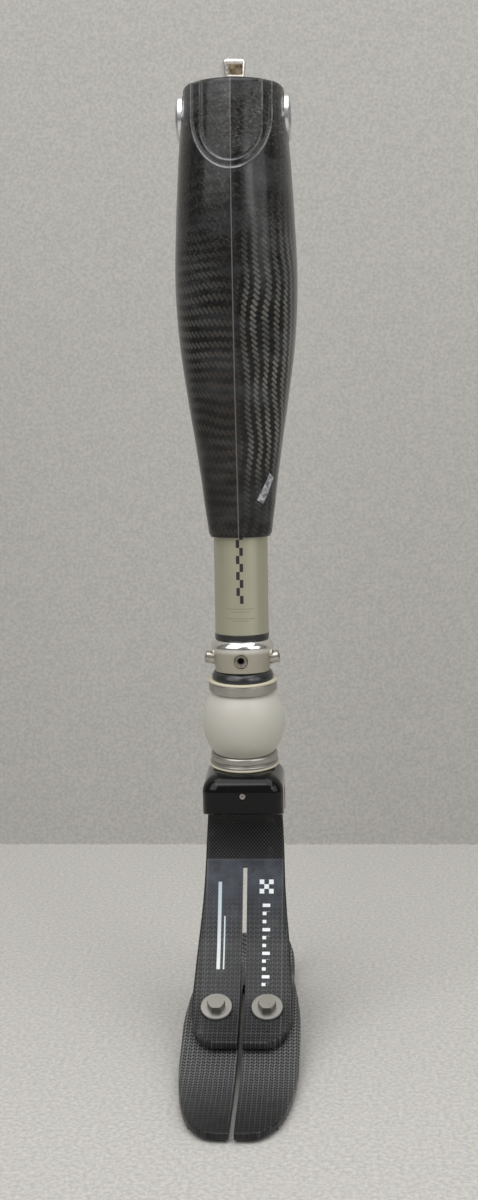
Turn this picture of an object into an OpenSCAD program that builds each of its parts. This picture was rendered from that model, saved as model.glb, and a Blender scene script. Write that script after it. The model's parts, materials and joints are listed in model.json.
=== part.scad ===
// Lower-leg prosthesis: hydraulic knee in a carbon frame, pylon tube,
// torsion and shock ankle module, and a split-toe carbon foot.
// Millimetres. +Z is up, -Y is forward, the sole stands on Z = 0.

/* [Layout] */
// How far the leg axis stands behind the middle of the foot
leg_y = 46.5; // [40:0.5:55]
// Height of the knee axis
knee_z = 570; // [560:1:590]
// Height of the ankle pyramid's centre
ankle_z = 232; // [226:1:238]
// Forward lean of the ankle module
module_tilt = 5; // [0:0.5:8]

/* [Knee frame] */
// Height of the frame's top edge
frame_top = 587.5; // [580:0.5:600]
// Height of the frame's bottom edge
frame_bottom = 315; // [305:1:325]
// Thickness of the laminate
frame_wall = 3.2; // [2.5:0.1:4]
// Height of the crease down the front
frame_ridge = 3.5; // [0:0.1:6]
// Radius of the frame's edges
frame_lip = 2.5; // [1:0.1:3]

/* [Knee joint] */
// Diameter of the axle stubs
axle_d = 12; // [10:0.5:14]
// Outer diameter of the needle bearings
bearing_d = 20; // [18:0.5:22]
// Diameter of the round caps on the axle ends
cap_d = 29; // [26:0.5:30]
// Full width over the two axle caps
cap_span = 69.4; // [66:0.2:72]
// Width of the knee head between the bearings
head_w = 39; // [34:0.5:40]
// Crank radius from the knee axis to the rod pin
crank_r = 14; // [12:0.5:16]
// Flexion of the knee, in degrees
flexion = 125; // [110:1:125]
// Angle of the crank above the rearward level, leg straight
crank_rise = 62.5; // [55:0.5:65]

/* [Damper] */
// Outer diameter of the hydraulic cylinder
damper_d = 30; // [26:0.5:31]
// Diameter of the polished rod
rod_d = 8; // [6:0.5:8]
// Height of the top of the cylinder's gland
damper_top = 544; // [538:1:546]
// Height of the bottom of the cylinder barrel
damper_foot = 446; // [440:1:460]

/* [Pylon] */
// Outer diameter of the tube
tube_d = 34; // [30:0.1:34]
// Wall of the tube
tube_wall = 2; // [1.5:0.1:3]
// Height of the tube's lower end
tube_low = 253.5; // [250:0.5:258]
// Height of the tube's upper end, inside the frame
tube_high = 375; // [365:1:380]

/* [Ankle module] */
// Diameter of the two steel rings
ring_d = 43.6; // [40:0.1:46]
// Diameter of the soft ball
ball_d = 52.6; // [48:0.1:56]
// Vertical travel of the shock module
shock_travel = 8; // [4:0.5:10]

/* [Foot] */
// Width of the ankle block
block_w = 51.5; // [46:0.5:56]
// Width of the sole at the toe bolts
sole_w = 71.5; // [66:0.5:76]
// Width of the slot between the two toes
toe_slot = 3; // [2:0.1:4]
// Reach of the toe tip ahead of the leg axis
toe_reach = 178; // [170:1:185]
// Distance between the two toe bolts
toe_bolt_gap = 31; // [28:0.5:36]

/* [Hidden] */

$fn = 72;
round_fn = 32;
fit = 0.05;

// Knee frame stations from bottom to top:
// [height, half width, front depth, rear depth, half of the rear opening]
frame_stations = [
    [frame_bottom, 19.8, 21.5, 21.5, 9.5],
    [335, 22.3, 24.6, 24.0, 9.5],
    [362, 25.7, 29.8, 28.5, 17.0],
    [400, 31.3, 36.6, 34.0, 21.0],
    [437, 36.0, 42.0, 38.0, 23.5],
    [472, 37.7, 45.0, 38.5, 24.5],
    [510, 36.4, 46.3, 35.0, 27.0],
    [545, 34.3, 45.0, 29.0, 28.5],
    [570, 32.3, 42.0, 24.0, 28.0],
    [frame_top, 30.8, 38.0, 15.0, 26.5]
];
frame_levels = 24;
frame_points = 26;
edge_tuck = 0.4;
front_power = 2.3;
rear_power = 3.2;

// Rear cover: from and to height, thickness
cover_low = 352;
cover_high = 492;
cover_t = 2.2;
cover_levels = 14;
cover_points = 16;
cover_screw_z = 360;
port_z = 376;

axle_inner_x = 7.5;
bearing_in_x = head_w / 2 + 1;
bearing_out_x = 30.5;
crank_y = crank_r * cos(crank_rise);
crank_z = crank_r * sin(crank_rise);
eye_r = 5.3;
pin_d = 6;
rod_len = 52;
piston_h = 12;
slot_w = 13.5;
head_r = 17.4;
head_top = 18;
pyramid_turn = 11;
trunnion_y = crank_r * (1 + cos(crank_rise)) / 2;
trunnion_z = 412;
trunnion_x = 30.5;
clamp_y = 23;
bumper_front = -33.2;

set_screw_d = 8;
// How far the set screws stand out: front, right, rear, left
screw_out = [0.9, 5.5, -1.1, 5.5];

// Ankle module heights, measured down its own axis from the pyramid's centre
seal_top = -1.5;
flange_top = -8;
flange_t = 1.2;
upper_ring_low = -16;
lower_ring_top = -56;
lower_ring_low = -63.2;
gasket_low = -65;
block_low = -97;
block_d = 50;
collar_d = 22;
shaft_d = 14;
shaft_low = -68.5;
well_low = shaft_low - shock_travel - 0.8;
clamp_top = -79.3;
block_front = -33;
blade_front = -6.8;
blade_back = 2.4;
block_pin_z = -84;
blade_bolt_z = -88;
blade_bolt_d = 6;

// Blade stations: [forward of the leg axis, height of the middle, width, thickness]
upper_stations = [
    [-4.7, 152.7, 46, 8.9], [-5.55, 143, 47, 8.9], [-6.15, 135, 48, 8.9],
    [-5.1, 125.5, 49.1, 8.8], [-1.7, 114, 50.1, 8.5], [3.6, 102, 50.9, 8.1],
    [10, 90.5, 51.9, 7.8], [18.5, 76, 54, 7.4], [29.5, 59, 57.5, 7.2], [41.5, 45, 60, 7],
    [54, 33.2, 61.8, 6.8], [67, 25.4, 61.6, 6.6], [79, 21.4, 56.5, 6.2], [88, 19.5, 47, 5.6],
    [93, 18.8, 34, 5]
];
sole_stations = [
    [-84, 26.5, 40, 4.2], [-82, 21.4, 51, 4.4], [-77.6, 13.4, 57, 4.6],
    [-70, 6.9, 58.5, 5], [-57, 4.1, 58.5, 5.2], [-40, 8.2, 57, 5.6],
    [-18, 19, 57, 5.8], [8, 26, 61, 6], [35, 25.2, 67, 6.2],
    [60, 19.4, sole_w, 6.4], [82, 12.4, sole_w, 6.4], [104, 7.0, sole_w - 1.1, 6.4],
    [128, 4.6, 66, 6.2], [150, 4.3, 58.5, 5.6], [toe_reach - 12, 4.2, 50.5, 5],
    [toe_reach - 3.5, 4.2, 41.5, 4.6], [toe_reach - 1, 4.2, 33, 4.2], [toe_reach, 4.2, 23, 3.8]
];
upper_steps = 48;
sole_steps = 68;
toe_bolt_y = 63;
toe_bolt_z = 27.4;
toe_bolt_tilt = 29;
toe_tread = [for (f = [122:4:162]) f];
heel_tread = [for (f = [-66:2:-46]) f];
tread_gap = 0.05;
shoulder_r = 9;
wedge_span = [for (f = [51:2:81]) f];
wedge_gap = 0.12;
toe_bolt_d = 8;
toe_grip = 15;
washer_seat = 4.2;
washer_d = 19.6;
washer_t = 1.5;
bolt_flats = 9.6;
bolt_head_h = 4.2;
nut_h = 3.4;

// ---------------------------------------------------------------- functions

// A smooth curve through points p at place t, where t = 1 is the second point.
function curve_at(p, t) =
    let (i = min(max(floor(t), 0), len(p) - 2),
         f = t - i,
         a = p[max(i - 1, 0)],
         b = p[i],
         c = p[i + 1],
         d = p[min(i + 2, len(p) - 1)])
    b + f / 2 * ((c - a) + f * ((2 * a - 5 * b + 4 * c - d)
        + f * (3 * b - a - 3 * c + d)));

function smooth_path(p, n) =
    [for (k = [0:n]) curve_at(p, k * (len(p) - 1) / n)];

// Unit normal of a polyline at point k, turned left of its direction.
function normal_at(p, k) =
    let (d = p[min(k + 1, len(p) - 1)] - p[max(k - 1, 0)],
         l = sqrt(d[0] * d[0] + d[1] * d[1]))
    [-d[1], d[0]] / l;

// Faces that join closed rings of m points each, with flat ends.
function ring_faces(rings, m) = concat(
    [for (r = [0:rings - 2], k = [0:m - 1])
        [r * m + k, r * m + (k + 1) % m, (r + 1) * m + k]],
    [for (r = [0:rings - 2], k = [0:m - 1])
        [r * m + (k + 1) % m, (r + 1) * m + (k + 1) % m, (r + 1) * m + k]],
    [[for (k = [m - 1:-1:0]) k]],
    [[for (k = [0:m - 1]) (rings - 1) * m + k]]);

module skin(rings) {
    m = len(rings[0]);
    points = [for (r = rings, p = r) p];
    polyhedron(points, ring_faces(len(rings), m), convexity = 6);
}

// Faces of an open-backed shell. Each ring runs along the outer face and back
// along the inner one; strips from outer to inner close the two ends.
function shell_faces(rings, m) =
    let (last = (rings - 1) * m,
         sides = [for (r = [0:rings - 2], k = [0:m - 1])
             let (a = r * m + k, b = r * m + (k + 1) % m)
             each [[a, b, a + m], [b, b + m, a + m]]],
         low = [for (k = [0:m / 2 - 2])
             each [[k, m - 1 - k, k + 1], [k + 1, m - 1 - k, m - 2 - k]]],
         high = [for (f = low) [f[2] + last, f[1] + last, f[0] + last]])
    concat(sides, low, high);

module shell(rings) {
    points = [for (r = rings, p = r) p];
    polyhedron(points, shell_faces(len(rings), len(rings[0])), convexity = 8);
}

// How far an edge of radius r has turned in, d from the end face.
function lip(d, r) = d >= r ? 0 : r - sqrt(r * r - (r - d) * (r - d));

// One point of the frame's section. Angle 0 is the front, 90 the side.
function section_point(s, inset, a) =
    let (w = s[1] - inset,
         m = abs(a) <= 90 ? front_power : rear_power,
         depth = abs(a) <= 90 ? -(s[2] - inset) : s[3] - inset,
         x = w * sign(sin(a)) * pow(abs(sin(a)), 2 / m),
         q = abs(x) / w,
         crease = abs(a) < 90 ? frame_ridge * q * (1 - q) : 0)
    [x, depth * pow(abs(cos(a)), 2 / m) + crease];

// Angle at which the section reaches half width x on its rear side.
function rear_angle(s, inset, x) =
    180 - asin(pow(min(1, x / (s[1] - inset)), rear_power / 2));

// Section points from angle a0 to a1.
function section_arc(s, inset, a0, a1, n) =
    [for (k = [0:n]) section_point(s, inset, a0 + (a1 - a0) * k / n)];

function station(z) =
    let (i = [for (k = [0:len(frame_stations) - 2])
            if (z >= frame_stations[k][0] - 0.001) k],
         k = i[len(i) - 1],
         a = frame_stations[k],
         b = frame_stations[k + 1])
    curve_at(frame_stations, k + (z - a[0]) / (b[0] - a[0]));

// ------------------------------------------------------------------ helpers

module at_leg(z = 0) translate([0, leg_y, z]) children();
module at_knee() at_leg(knee_z) children();
module at_ankle() at_leg(ankle_z) rotate([module_tilt, 0, 0]) children();
module at_rod() at_knee() translate([0, crank_y, crank_z]) children();

// Cylinder along X, from x0 to x1.
module bar_x(d, x0, x1) translate([x0, 0, 0]) rotate([0, 90, 0]) cylinder(d = d, h = x1 - x0);

// Box given by its two corners.
module block(a, b) translate(a) cube(b - a);

// Upright prism with rounded corners.
module rounded_prism(w, d, h, r) {
    linear_extrude(h) {
        union() {
            square([w - 2 * r, d], center = true);
            square([w, d - 2 * r], center = true);
            for (x = [-1, 1], y = [-1, 1])
                translate([x * (w / 2 - r), y * (d / 2 - r)]) circle(r);
        }
    }
}

module hex_prism(flats, h) cylinder(d = flats / cos(30), h = h, $fn = 6);

// Male alignment pyramid: dovetail head on a ball, standing on z = 0.
module pyramid_solid(base_d, rise, top_w, foot_w, head_h) {
    rotate_extrude()
        polygon(concat([[0, 0], [base_d / 2, 0]],
            [for (k = [0:8]) [base_d / 2 * cos(k * 7), 1 + rise * sin(k * 7) / sin(56)]],
            [[0, rise + 1]]));
    translate([0, 0, rise]) linear_extrude(head_h, scale = top_w / foot_w)
        offset(delta = 0.8, chamfer = true) square(foot_w - 1.6, center = true);
}

// Strip with bevelled edges that follows blade stations in the YZ plane in n steps.
module blade(stations, n) {
    mid = smooth_path(stations, n);
    skin([for (k = [0:n])
        let (w = mid[k][2] / 2,
             h = mid[k][3] / 2,
             c = min(1.4, h / 2),
             o = normal_at(mid, k))
        [for (q = [[-w + c, -h], [-w, c - h], [-w, h - c], [-w + c, h],
                   [w - c, h], [w, h - c], [w, c - h], [w - c, -h]])
            [q[0], leg_y - mid[k][0] - q[1] * o[0], mid[k][1] + q[1] * o[1]]]]);
}

// Edge of a blade in the YZ plane: side is 1 for its upper face, -1 for its lower.
function blade_edge(stations, n, side) =
    let (mid = smooth_path(stations, n))
    [for (k = [0:n]) let (o = normal_at(mid, k))
        [mid[k][0] + side * mid[k][3] / 2 * o[0], mid[k][1] + side * mid[k][3] / 2 * o[1]]];

// ---------------------------------------------------------------- knee head

// The rod's way past the head and the pyramid's foot, over the whole flexion
module rod_way(w) rotate([90, 0, 90]) linear_extrude(w, center = true) union() {
    translate([2.2, -30]) square([30, 30 + crank_z]);
    translate([crank_y, crank_z]) circle(eye_r + 0.5);
    translate([crank_y, crank_z]) rotate(flexion - 90) translate([0, -12])
        square([30, 12 + rod_d / 2 + 1]);
}

module top_pyramid() color("gainsboro") at_knee() difference() {
    translate([0, 0, head_top]) rotate([0, 0, pyramid_turn])
        pyramid_solid(27, 3.4, 14.4, 11.2, 13.2);
    translate([0, 0, head_top - 1]) cylinder(d = 6, h = 20);
    rod_way(rod_d + 2);
}

module knee_head() color("silver") at_knee() difference() {
    union() {
        bar_x(2 * head_r, -head_w / 2, head_w / 2);
        block([-17, -head_r - 1.7, 4], [17, 12, head_top]);
        translate([0, 0, head_top - 6]) cylinder(d = 30, h = 6);
    }
    rod_way(slot_w);
    // Bores
    bar_x(axle_d, -30, 30);
    translate([0, crank_y, crank_z]) bar_x(pin_d, -30, 30);
}

module knee_axles() color("lightsteelblue") at_knee() for (x = [-1, 1])
    bar_x(axle_d, x > 0 ? axle_inner_x : -bearing_out_x, x > 0 ? bearing_out_x : -axle_inner_x);

module rod_pin() color("lightsteelblue") at_rod() bar_x(pin_d, -14, 14);

module axle_cap(x) at_knee() scale([x, 1, 1]) translate([bearing_out_x + 0.4, 0, 0])
    rotate([0, 90, 0]) rotate_extrude()
        polygon([[0, 0], [cap_d / 2, 0], [cap_d / 2, cap_span / 2 - bearing_out_x - 1.6],
            [cap_d / 2 - 1.2, cap_span / 2 - bearing_out_x - 0.4], [9, cap_span / 2 - bearing_out_x - 0.4],
            [8.4, cap_span / 2 - bearing_out_x - 1], [0, cap_span / 2 - bearing_out_x - 1]]);

module axle_cap_left() color("whitesmoke") axle_cap(-1);
module axle_cap_right() color("whitesmoke") axle_cap(1);

module bearing(x) at_knee() difference() {
    bar_x(bearing_d, x > 0 ? bearing_in_x : -bearing_out_x, x > 0 ? bearing_out_x : -bearing_in_x);
    bar_x(axle_d + 2 * fit, -40, 40);
}

module bearing_left() color("slategray") bearing(-1);
module bearing_right() color("slategray") bearing(1);

module bearing_housing(x) at_knee() difference() {
    union() {
        bar_x(cap_d - 0.4, x > 0 ? 26 : -bearing_out_x, x > 0 ? bearing_out_x : -26);
        bar_x(bearing_d + 5, x > 0 ? bearing_in_x : -27, x > 0 ? 27 : -bearing_in_x);
    }
    bar_x(bearing_d, -40, 40);
}

module bearing_housing_left() color("dimgray") bearing_housing(-1);
module bearing_housing_right() color("dimgray") bearing_housing(1);

module extension_bumper() color("black") at_knee() difference() {
    block([-7, bumper_front, 6], [7, -head_r - 2.6, 14]);
    translate([0, -28, 0]) cylinder(d = 4, h = 30);
}

// ------------------------------------------------------------------- damper

module damper_rod() color("gainsboro") at_rod() difference() {
    union() {
        bar_x(2 * eye_r, -6, 6);
        translate([0, 0, -rod_len]) cylinder(d = rod_d, h = rod_len - 3);
    }
    bar_x(pin_d + 2 * fit, -10, 10);
}

module damper_piston() color("goldenrod") at_rod() translate([0, 0, -rod_len - piston_h])
    rotate_extrude() polygon([[0, 0], [10.4, 0], [10.9, 0.5], [10.9, 4], [10, 4], [10, 7],
        [10.9, 7], [10.9, piston_h - 0.5], [10.4, piston_h], [0, piston_h]]);

module damper_cylinder() color("darkslategray") at_leg() translate([0, crank_y, 0])
    translate([0, 0, damper_foot]) rotate_extrude() polygon([
        [0, 0], [damper_d / 2 - 1, 0], [damper_d / 2, 1], [damper_d / 2, 20],
        [damper_d / 2 - 1.5, 22], [damper_d / 2 - 1.5, 80], [damper_d / 2, 82],
        [damper_d / 2, damper_top - damper_foot - 6], [11, damper_top - damper_foot - 6],
        [11, 8], [0, 8]]);

module damper_gland() color("dimgray") at_leg(damper_top) translate([0, crank_y, -6])
    rotate_extrude() polygon([[rod_d / 2 + fit, 0], [rod_d / 2 + fit, 6], [9, 6], [10, 5],
        [10, 2.5], [damper_d / 2 - 1, 2.5], [damper_d / 2, 1.5], [damper_d / 2, 0]]);

module valve_block() color("silver") at_leg() translate([0, crank_y, damper_foot - 22])
    difference() {
        translate([0, -2, 0]) rounded_prism(32, 28, 22, 5);
        for (x = [-1, 1]) translate([x * 10, 4, -1]) cylinder(d = 5, h = 12);
        translate([0, 0, 11]) rotate([0, 90, 0]) translate([0, 5, -30]) cylinder(d = 7, h = 18);
    }

module servo_motor() color("black") at_leg(damper_foot - 11) translate([0, crank_y - 23.4, 0])
    difference() {
        union() {
            bar_x(14, -13, 9);
            bar_x(10, 9, 13);
            block([-6, 3, -6], [6, 7.4, 6]);
        }
        bar_x(3, 10, 20);
    }

module damper_lug() color("silver") at_leg(trunnion_z) translate([0, crank_y, 0])
    difference() {
        union() {
            block([-5, -14, -6], [5, 14, damper_foot - 22 - trunnion_z]);
            for (y = [-7, 7]) translate([0, y, 0]) bar_x(15, -5, 5);
        }
        translate([0, 0, -0.2]) {
            block([-10, -4.6, -5], [10, 4.6, 5]);
            for (y = [-4.6, 4.6]) translate([0, y, 0]) bar_x(10, -10, 10);
        }
    }

module trunnion_pin() color("lightsteelblue")
    at_leg(trunnion_z) translate([0, trunnion_y, 0]) bar_x(pin_d, -trunnion_x, trunnion_x);

// -------------------------------------------------------------- knee frame

// The laminate thins towards the tube, to leave room for the clamp sleeve.
function wall_at(z) = min(frame_wall, 1.6 + (z - frame_bottom) * 0.055);

function frame_ring(z) =
    let (s = station(z),
         inn = wall_at(z),
         out = min(lip(min(z - frame_bottom, frame_top - z), frame_lip), inn - 0.7),
         tuck = z == frame_bottom ? edge_tuck : z == frame_top ? -edge_tuck : 0,
         ao = rear_angle(s, out, s[4]),
         ai = rear_angle(s, inn, s[4]))
    concat([for (p = section_arc(s, out, -ao, ao, frame_points)) [p[0], leg_y + p[1], z + tuck]],
           [for (p = section_arc(s, inn, ai, -ai, frame_points)) [p[0], leg_y + p[1], z]]);

module carbon_frame() color([0.12, 0.12, 0.13]) difference() {
    shell([for (z = concat([frame_bottom, frame_bottom + 0.5, frame_bottom + 1.3],
            [for (k = [1:frame_levels - 1])
                frame_bottom + k * (frame_top - frame_bottom) / frame_levels],
            [frame_top - 1.3, frame_top - 0.5, frame_top]))
        frame_ring(z)]);
    at_knee() bar_x(cap_d + 0.4, -60, 60);
    at_leg(trunnion_z) translate([0, trunnion_y, 0]) bar_x(pin_d, -trunnion_x, trunnion_x);
}

function cover_ring(z) =
    let (s = station(z),
         x = s[4] - 0.4,
         turn = lip(min(z - cover_low, cover_high - z), 1.4),
         tuck = z == cover_low ? edge_tuck : z == cover_high ? -edge_tuck : 0,
         ao = rear_angle(s, turn, x),
         ai = rear_angle(s, cover_t, x))
    concat([for (p = section_arc(s, turn, 360 - ao, ao, cover_points))
                [p[0], leg_y + abs(p[1]), z + tuck]],
           [for (p = section_arc(s, cover_t, ai, 360 - ai, cover_points))
                [p[0], leg_y + abs(p[1]), z]]);

module rear_cover() color([0.1, 0.1, 0.1]) difference() {
    shell([for (z = concat([cover_low, cover_low + 0.5],
            [for (k = [1:cover_levels - 1])
                cover_low + k * (cover_high - cover_low) / cover_levels],
            [cover_high - 0.5, cover_high]))
        cover_ring(z)]);
    at_leg(port_z) rotate([-90, 0, 0]) cylinder(d = 9, h = 60);
    at_leg(cover_screw_z) rotate([-90, 0, 0]) cylinder(d = 3.2, h = 60);
    at_cover_screw() cylinder(d = 6, h = 10);
}

// Places children at the seat of the cover's screw, +Z to the rear
module at_cover_screw() at_leg(cover_screw_z)
    translate([0, station(cover_screw_z)[3] - 1, 0]) rotate([-90, 0, 0]) children();

module cover_screw() color("gray") at_cover_screw() difference() {
    union() {
        translate([0, 0, 18.6 - station(cover_screw_z)[3]])
            cylinder(d = 3, h = station(cover_screw_z)[3] - 18.5);
        cylinder(d = 5.5, h = 1.2);
    }
    translate([0, 0, 0.5]) hex_prism(2, 3);
}

module charge_port() color("black") at_leg(port_z)
    translate([0, station(port_z)[3] - 5, 0]) rotate([-90, 0, 0]) difference() {
        cylinder(d = 8.8, h = 5);
        translate([0, 0, 2]) difference() {
            cylinder(d = 6, h = 4);
            cylinder(d = 2.4, h = 4);
        }
    }

module electronics_box() color("darkgreen") at_leg(508) translate([0, -26, 0])
    rounded_prism(42, 16, 30, 3);

module battery_pack() color("midnightblue") at_leg(452) translate([0, -26, 0]) difference() {
    rounded_prism(44, 17, 52, 6);
    for (z = [-1, 50]) translate([0, 0, z]) rounded_prism(30, 8, 3, 3);
}

module tube_clamp() color("dimgray") at_leg(frame_bottom + 1) difference() {
    union() {
        rotate_extrude() polygon([[12, 0], [18, 0], [19.4, 20], [20.4, 30], [20.4, 50], [12, 50]]);
        block([-8, 12, 2], [8, 28, 16]);
    }
    translate([0, 0, -1]) cylinder(d = tube_d + 2 * fit, h = 60);
    // Slit that closes on the tube
    block([-1, 5, -1], [1, 40, 36]);
    translate([0, clamp_y, 9]) bar_x(5, -20, 20);
    translate([0, clamp_y, 9]) bar_x(9, 5, 20);
    translate([0, 0, cover_screw_z - frame_bottom - 1]) rotate([-90, 0, 0]) cylinder(d = 3.1, h = 30);
}

module clamp_screw() color("gray") at_leg(frame_bottom + 10) translate([0, clamp_y, 0])
    difference() {
        union() {
            bar_x(5, -7.6, 5);
            bar_x(8.5, 5, 8.4);
        }
        translate([6, 0, 0]) rotate([0, 90, 0]) hex_prism(4, 5);
    }

// -------------------------------------------------------------------- pylon

module shank_tube() color([0.55, 0.53, 0.43]) at_leg(tube_low) difference() {
    cylinder(d = tube_d, h = tube_high - tube_low);
    translate([0, 0, -1]) cylinder(d = tube_d - 2 * tube_wall, h = tube_high);
}

module tube_end_ring() color("black") at_leg(tube_low - 4) rotate_extrude()
    polygon([[15, 0], [16.7, 0], [17.2, 0.5], [17.2, 3.6], [16.8, 4], [15, 4]]);

module pyramid_receiver() color("lightgray") at_leg(ankle_z) difference() {
    rotate_extrude() polygon(concat(
        [[9, 13], [9, 42], [14, 42], [15, 41], [15, 17.5], [16.9, 17.5], [16.9, 16.2]],
        [for (a = [-90:15:0]) [20.15 - 3.2 + 3.2 * cos(a), 13 - 3.2 * sin(a) * 0.98]],
        [[20.15, 11.4], [19.7, 10.4], [17.3, -3], [13.4, -3], [13.4, 6], [12, 13]]));
    for (side = [0:3]) at_set_screw(side) {
        translate([0, 0, -20]) cylinder(d = set_screw_d, h = 30);
        translate([0, 0, 0.4]) cylinder(d = set_screw_d + 0.8, h = 6);
    }
}

// Places children at a set screw's seat in the receiver, +Z outwards
module at_set_screw(side) rotate([0, 0, 90 * side]) translate([0, -18.2, 5.2])
    rotate([80, 0, 0]) children();

module set_screws() color("dimgray") at_leg(ankle_z) for (side = [0:3])
    at_set_screw(side) difference() {
        rotate_extrude() polygon([[0, -10.2], [2.3, -10.2], [set_screw_d / 2, -8.7],
            [set_screw_d / 2, screw_out[side] - 0.8], [set_screw_d / 2 - 0.8, screw_out[side]],
            [0, screw_out[side]]]);
        translate([0, 0, screw_out[side] - 3.6]) hex_prism(4, 5);
    }

// ------------------------------------------------------------- ankle module

module foot_pyramid() color("silver") at_ankle() {
    translate([0, 0, -6]) pyramid_solid(26, 4.5, 14.8, 11.6, 12.5);
    translate([0, 0, flange_top]) cylinder(d = 26, h = 2);
}

// Rubber seal, pressed flat by the receiver's lower rim
module dome_seal() color("black") difference() {
    at_ankle() rotate_extrude() polygon(concat(
        [[13.1, flange_top], [19.4, flange_top]],
        [for (a = [0:15:75]) [16.6 + 2.8 * cos(a), flange_top + 1 + 5.6 * sin(a)]],
        [[14.8, seal_top], [13.6, seal_top - 1.4], [13.1, flange_top + 2]]));
    at_leg(ankle_z - 3.05) cylinder(d = 60, h = 20);
}

module upper_flange() color("ivory") at_ankle() rotate_extrude() polygon([
    [shaft_d / 2, flange_top - flange_t], [ring_d / 2 + 0.3, flange_top - flange_t],
    [ring_d / 2 + 0.5, flange_top - flange_t / 2], [ring_d / 2 + 0.1, flange_top],
    [shaft_d / 2, flange_top]]);

module upper_ring() color("silver") at_ankle() rotate_extrude() polygon([
    [shaft_d / 2, flange_top - flange_t], [ring_d / 2, flange_top - flange_t],
    [ring_d / 2, upper_ring_low + 1.2], [ring_d / 2 - 1.2, upper_ring_low],
    [shaft_d / 2, upper_ring_low]]);

module shock_shaft() color("gainsboro") at_ankle() difference() {
    translate([0, 0, shaft_low]) cylinder(d = shaft_d, h = flange_top - shaft_low);
    translate([0, 0, shaft_low - 1]) cylinder(d = 6, h = 40);
}

module torsion_collar() color("steelblue") at_ankle() rotate_extrude() polygon([
    [shaft_d / 2 + fit, gasket_low - 3], [collar_d / 2 - 1, gasket_low - 3],
    [collar_d / 2, gasket_low - 2], [collar_d / 2, -30], [collar_d / 2 - 1, -29],
    [shaft_d / 2 + fit, -29]]);

module elastomer_ball() color("whitesmoke") at_ankle() rotate_extrude() polygon(concat(
    [[collar_d / 2 + 0.4, lower_ring_top + 0.1], [17.5, lower_ring_top + 0.1]],
    [for (a = [-46:4:46]) [ball_d / 2 - 20 + 20 * cos(a), -36 + 26.4 * sin(a)]],
    [[17.5, upper_ring_low - 0.1], [collar_d / 2 + 0.4, upper_ring_low - 0.1]]));

module lower_ring() color("silver") at_ankle() rotate_extrude() polygon([
    [collar_d / 2 + 3, lower_ring_top], [ring_d / 2 - 1.2, lower_ring_top],
    [ring_d / 2 - 0.4, lower_ring_top - 1], [ring_d / 2 - 0.4, lower_ring_top - 4.2],
    [ring_d / 2 - 1.2, lower_ring_top - 4.8], [ring_d / 2 - 1.2, lower_ring_top - 5.4],
    [ring_d / 2 + 0.2, lower_ring_top - 5.9], [ring_d / 2 + 0.2, lower_ring_low],
    [collar_d / 2 + 3, lower_ring_low]]);

module shaft_bush() color("tan") at_ankle() rotate_extrude() polygon([
    [collar_d / 2 + fit, lower_ring_top - 1], [collar_d / 2 + 3, lower_ring_top - 1],
    [collar_d / 2 + 3, gasket_low - 5], [collar_d / 2 + fit, gasket_low - 5]]);

module lower_gasket() color("ivory") at_ankle() rotate_extrude() polygon([
    [collar_d / 2 + 3, gasket_low], [22.1, gasket_low], [22.3, gasket_low + 0.9],
    [22.1, lower_ring_low], [collar_d / 2 + 3, lower_ring_low]]);

// --------------------------------------------------------------------- foot

// Upright block with rounded corners and a domed shoulder.
module block_form() intersection() {
    translate([0, block_front + block_d, 0]) rotate([90, 0, 0]) linear_extrude(block_d) union() {
        translate([-block_w / 2, block_low]) square([block_w, gasket_low - block_low - shoulder_r]);
        translate([-block_w / 2 + shoulder_r, block_low])
            square([block_w - 2 * shoulder_r, gasket_low - block_low]);
        for (x = [-1, 1]) translate([x * (block_w / 2 - shoulder_r), gasket_low - shoulder_r])
            circle(shoulder_r);
    }
    translate([0, block_front + block_d / 2, block_low])
        rounded_prism(block_w, block_d, gasket_low - block_low, shoulder_r);
    rotate([0, 90, 0]) translate([0, 0, -block_w / 2]) linear_extrude(block_w) union() {
        translate([-gasket_low + shoulder_r, block_front])
            square([gasket_low - block_low - shoulder_r, block_d]);
        translate([-gasket_low, block_front + shoulder_r])
            square([gasket_low - block_low, block_d - 2 * shoulder_r]);
        for (y = [block_front + shoulder_r, block_front + block_d - shoulder_r])
            translate([-gasket_low + shoulder_r, y]) circle(shoulder_r);
    }
}

module ankle_block() color("black") at_ankle() difference() {
    block_form();
    // Well for the shaft, its collar and its travel
    translate([0, 0, well_low]) cylinder(d = collar_d + 6, h = 30);
    // Seat of the blade and its clamp plate
    block([-40, blade_front, block_low - 10], [40, 40, clamp_top]);
    // Pin hole in the front
    translate([0, 0, block_pin_z]) rotate([90, 0, 0]) cylinder(d = 5.2, h = 40);
    at_blade_bolts() translate([0, 0, blade_front - 16]) cylinder(d = blade_bolt_d, h = 16);
}

module block_pin() color("dimgray") at_ankle() translate([0, 0, block_pin_z]) rotate([90, 0, 0])
    translate([0, 0, 9]) cylinder(d = 5.1, h = 22);

module blade_plate() color("black") at_ankle() difference() {
    intersection() {
        block_form();
        block([-40, blade_back, block_low], [40, 40, clamp_top - 0.2]);
    }
    at_blade_bolts() {
        cylinder(d = blade_bolt_d + 0.4, h = 40);
        translate([0, 0, 9]) cylinder(d = 10.5, h = 40);
    }
}

// Places children at each bolt that holds the blade, +Z to the rear
module at_blade_bolts() for (x = [-1, 1]) translate([x * 14, 0, blade_bolt_z])
    rotate([-90, 0, 0]) children();

module blade_bolts() color("gray") at_ankle() at_blade_bolts() difference() {
    union() {
        translate([0, 0, -20]) cylinder(d = blade_bolt_d, h = 30);
        translate([0, 0, 9]) cylinder(d = 9.8, h = 5.6);
    }
    translate([0, 0, 11.5]) hex_prism(5, 5);
}

// Slot that parts the toes, open to the front
module slot_cut(forward, z0, z1) at_leg()
    block([-toe_slot / 2, -toe_reach - 10, z0], [toe_slot / 2, -forward, z1]);

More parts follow.
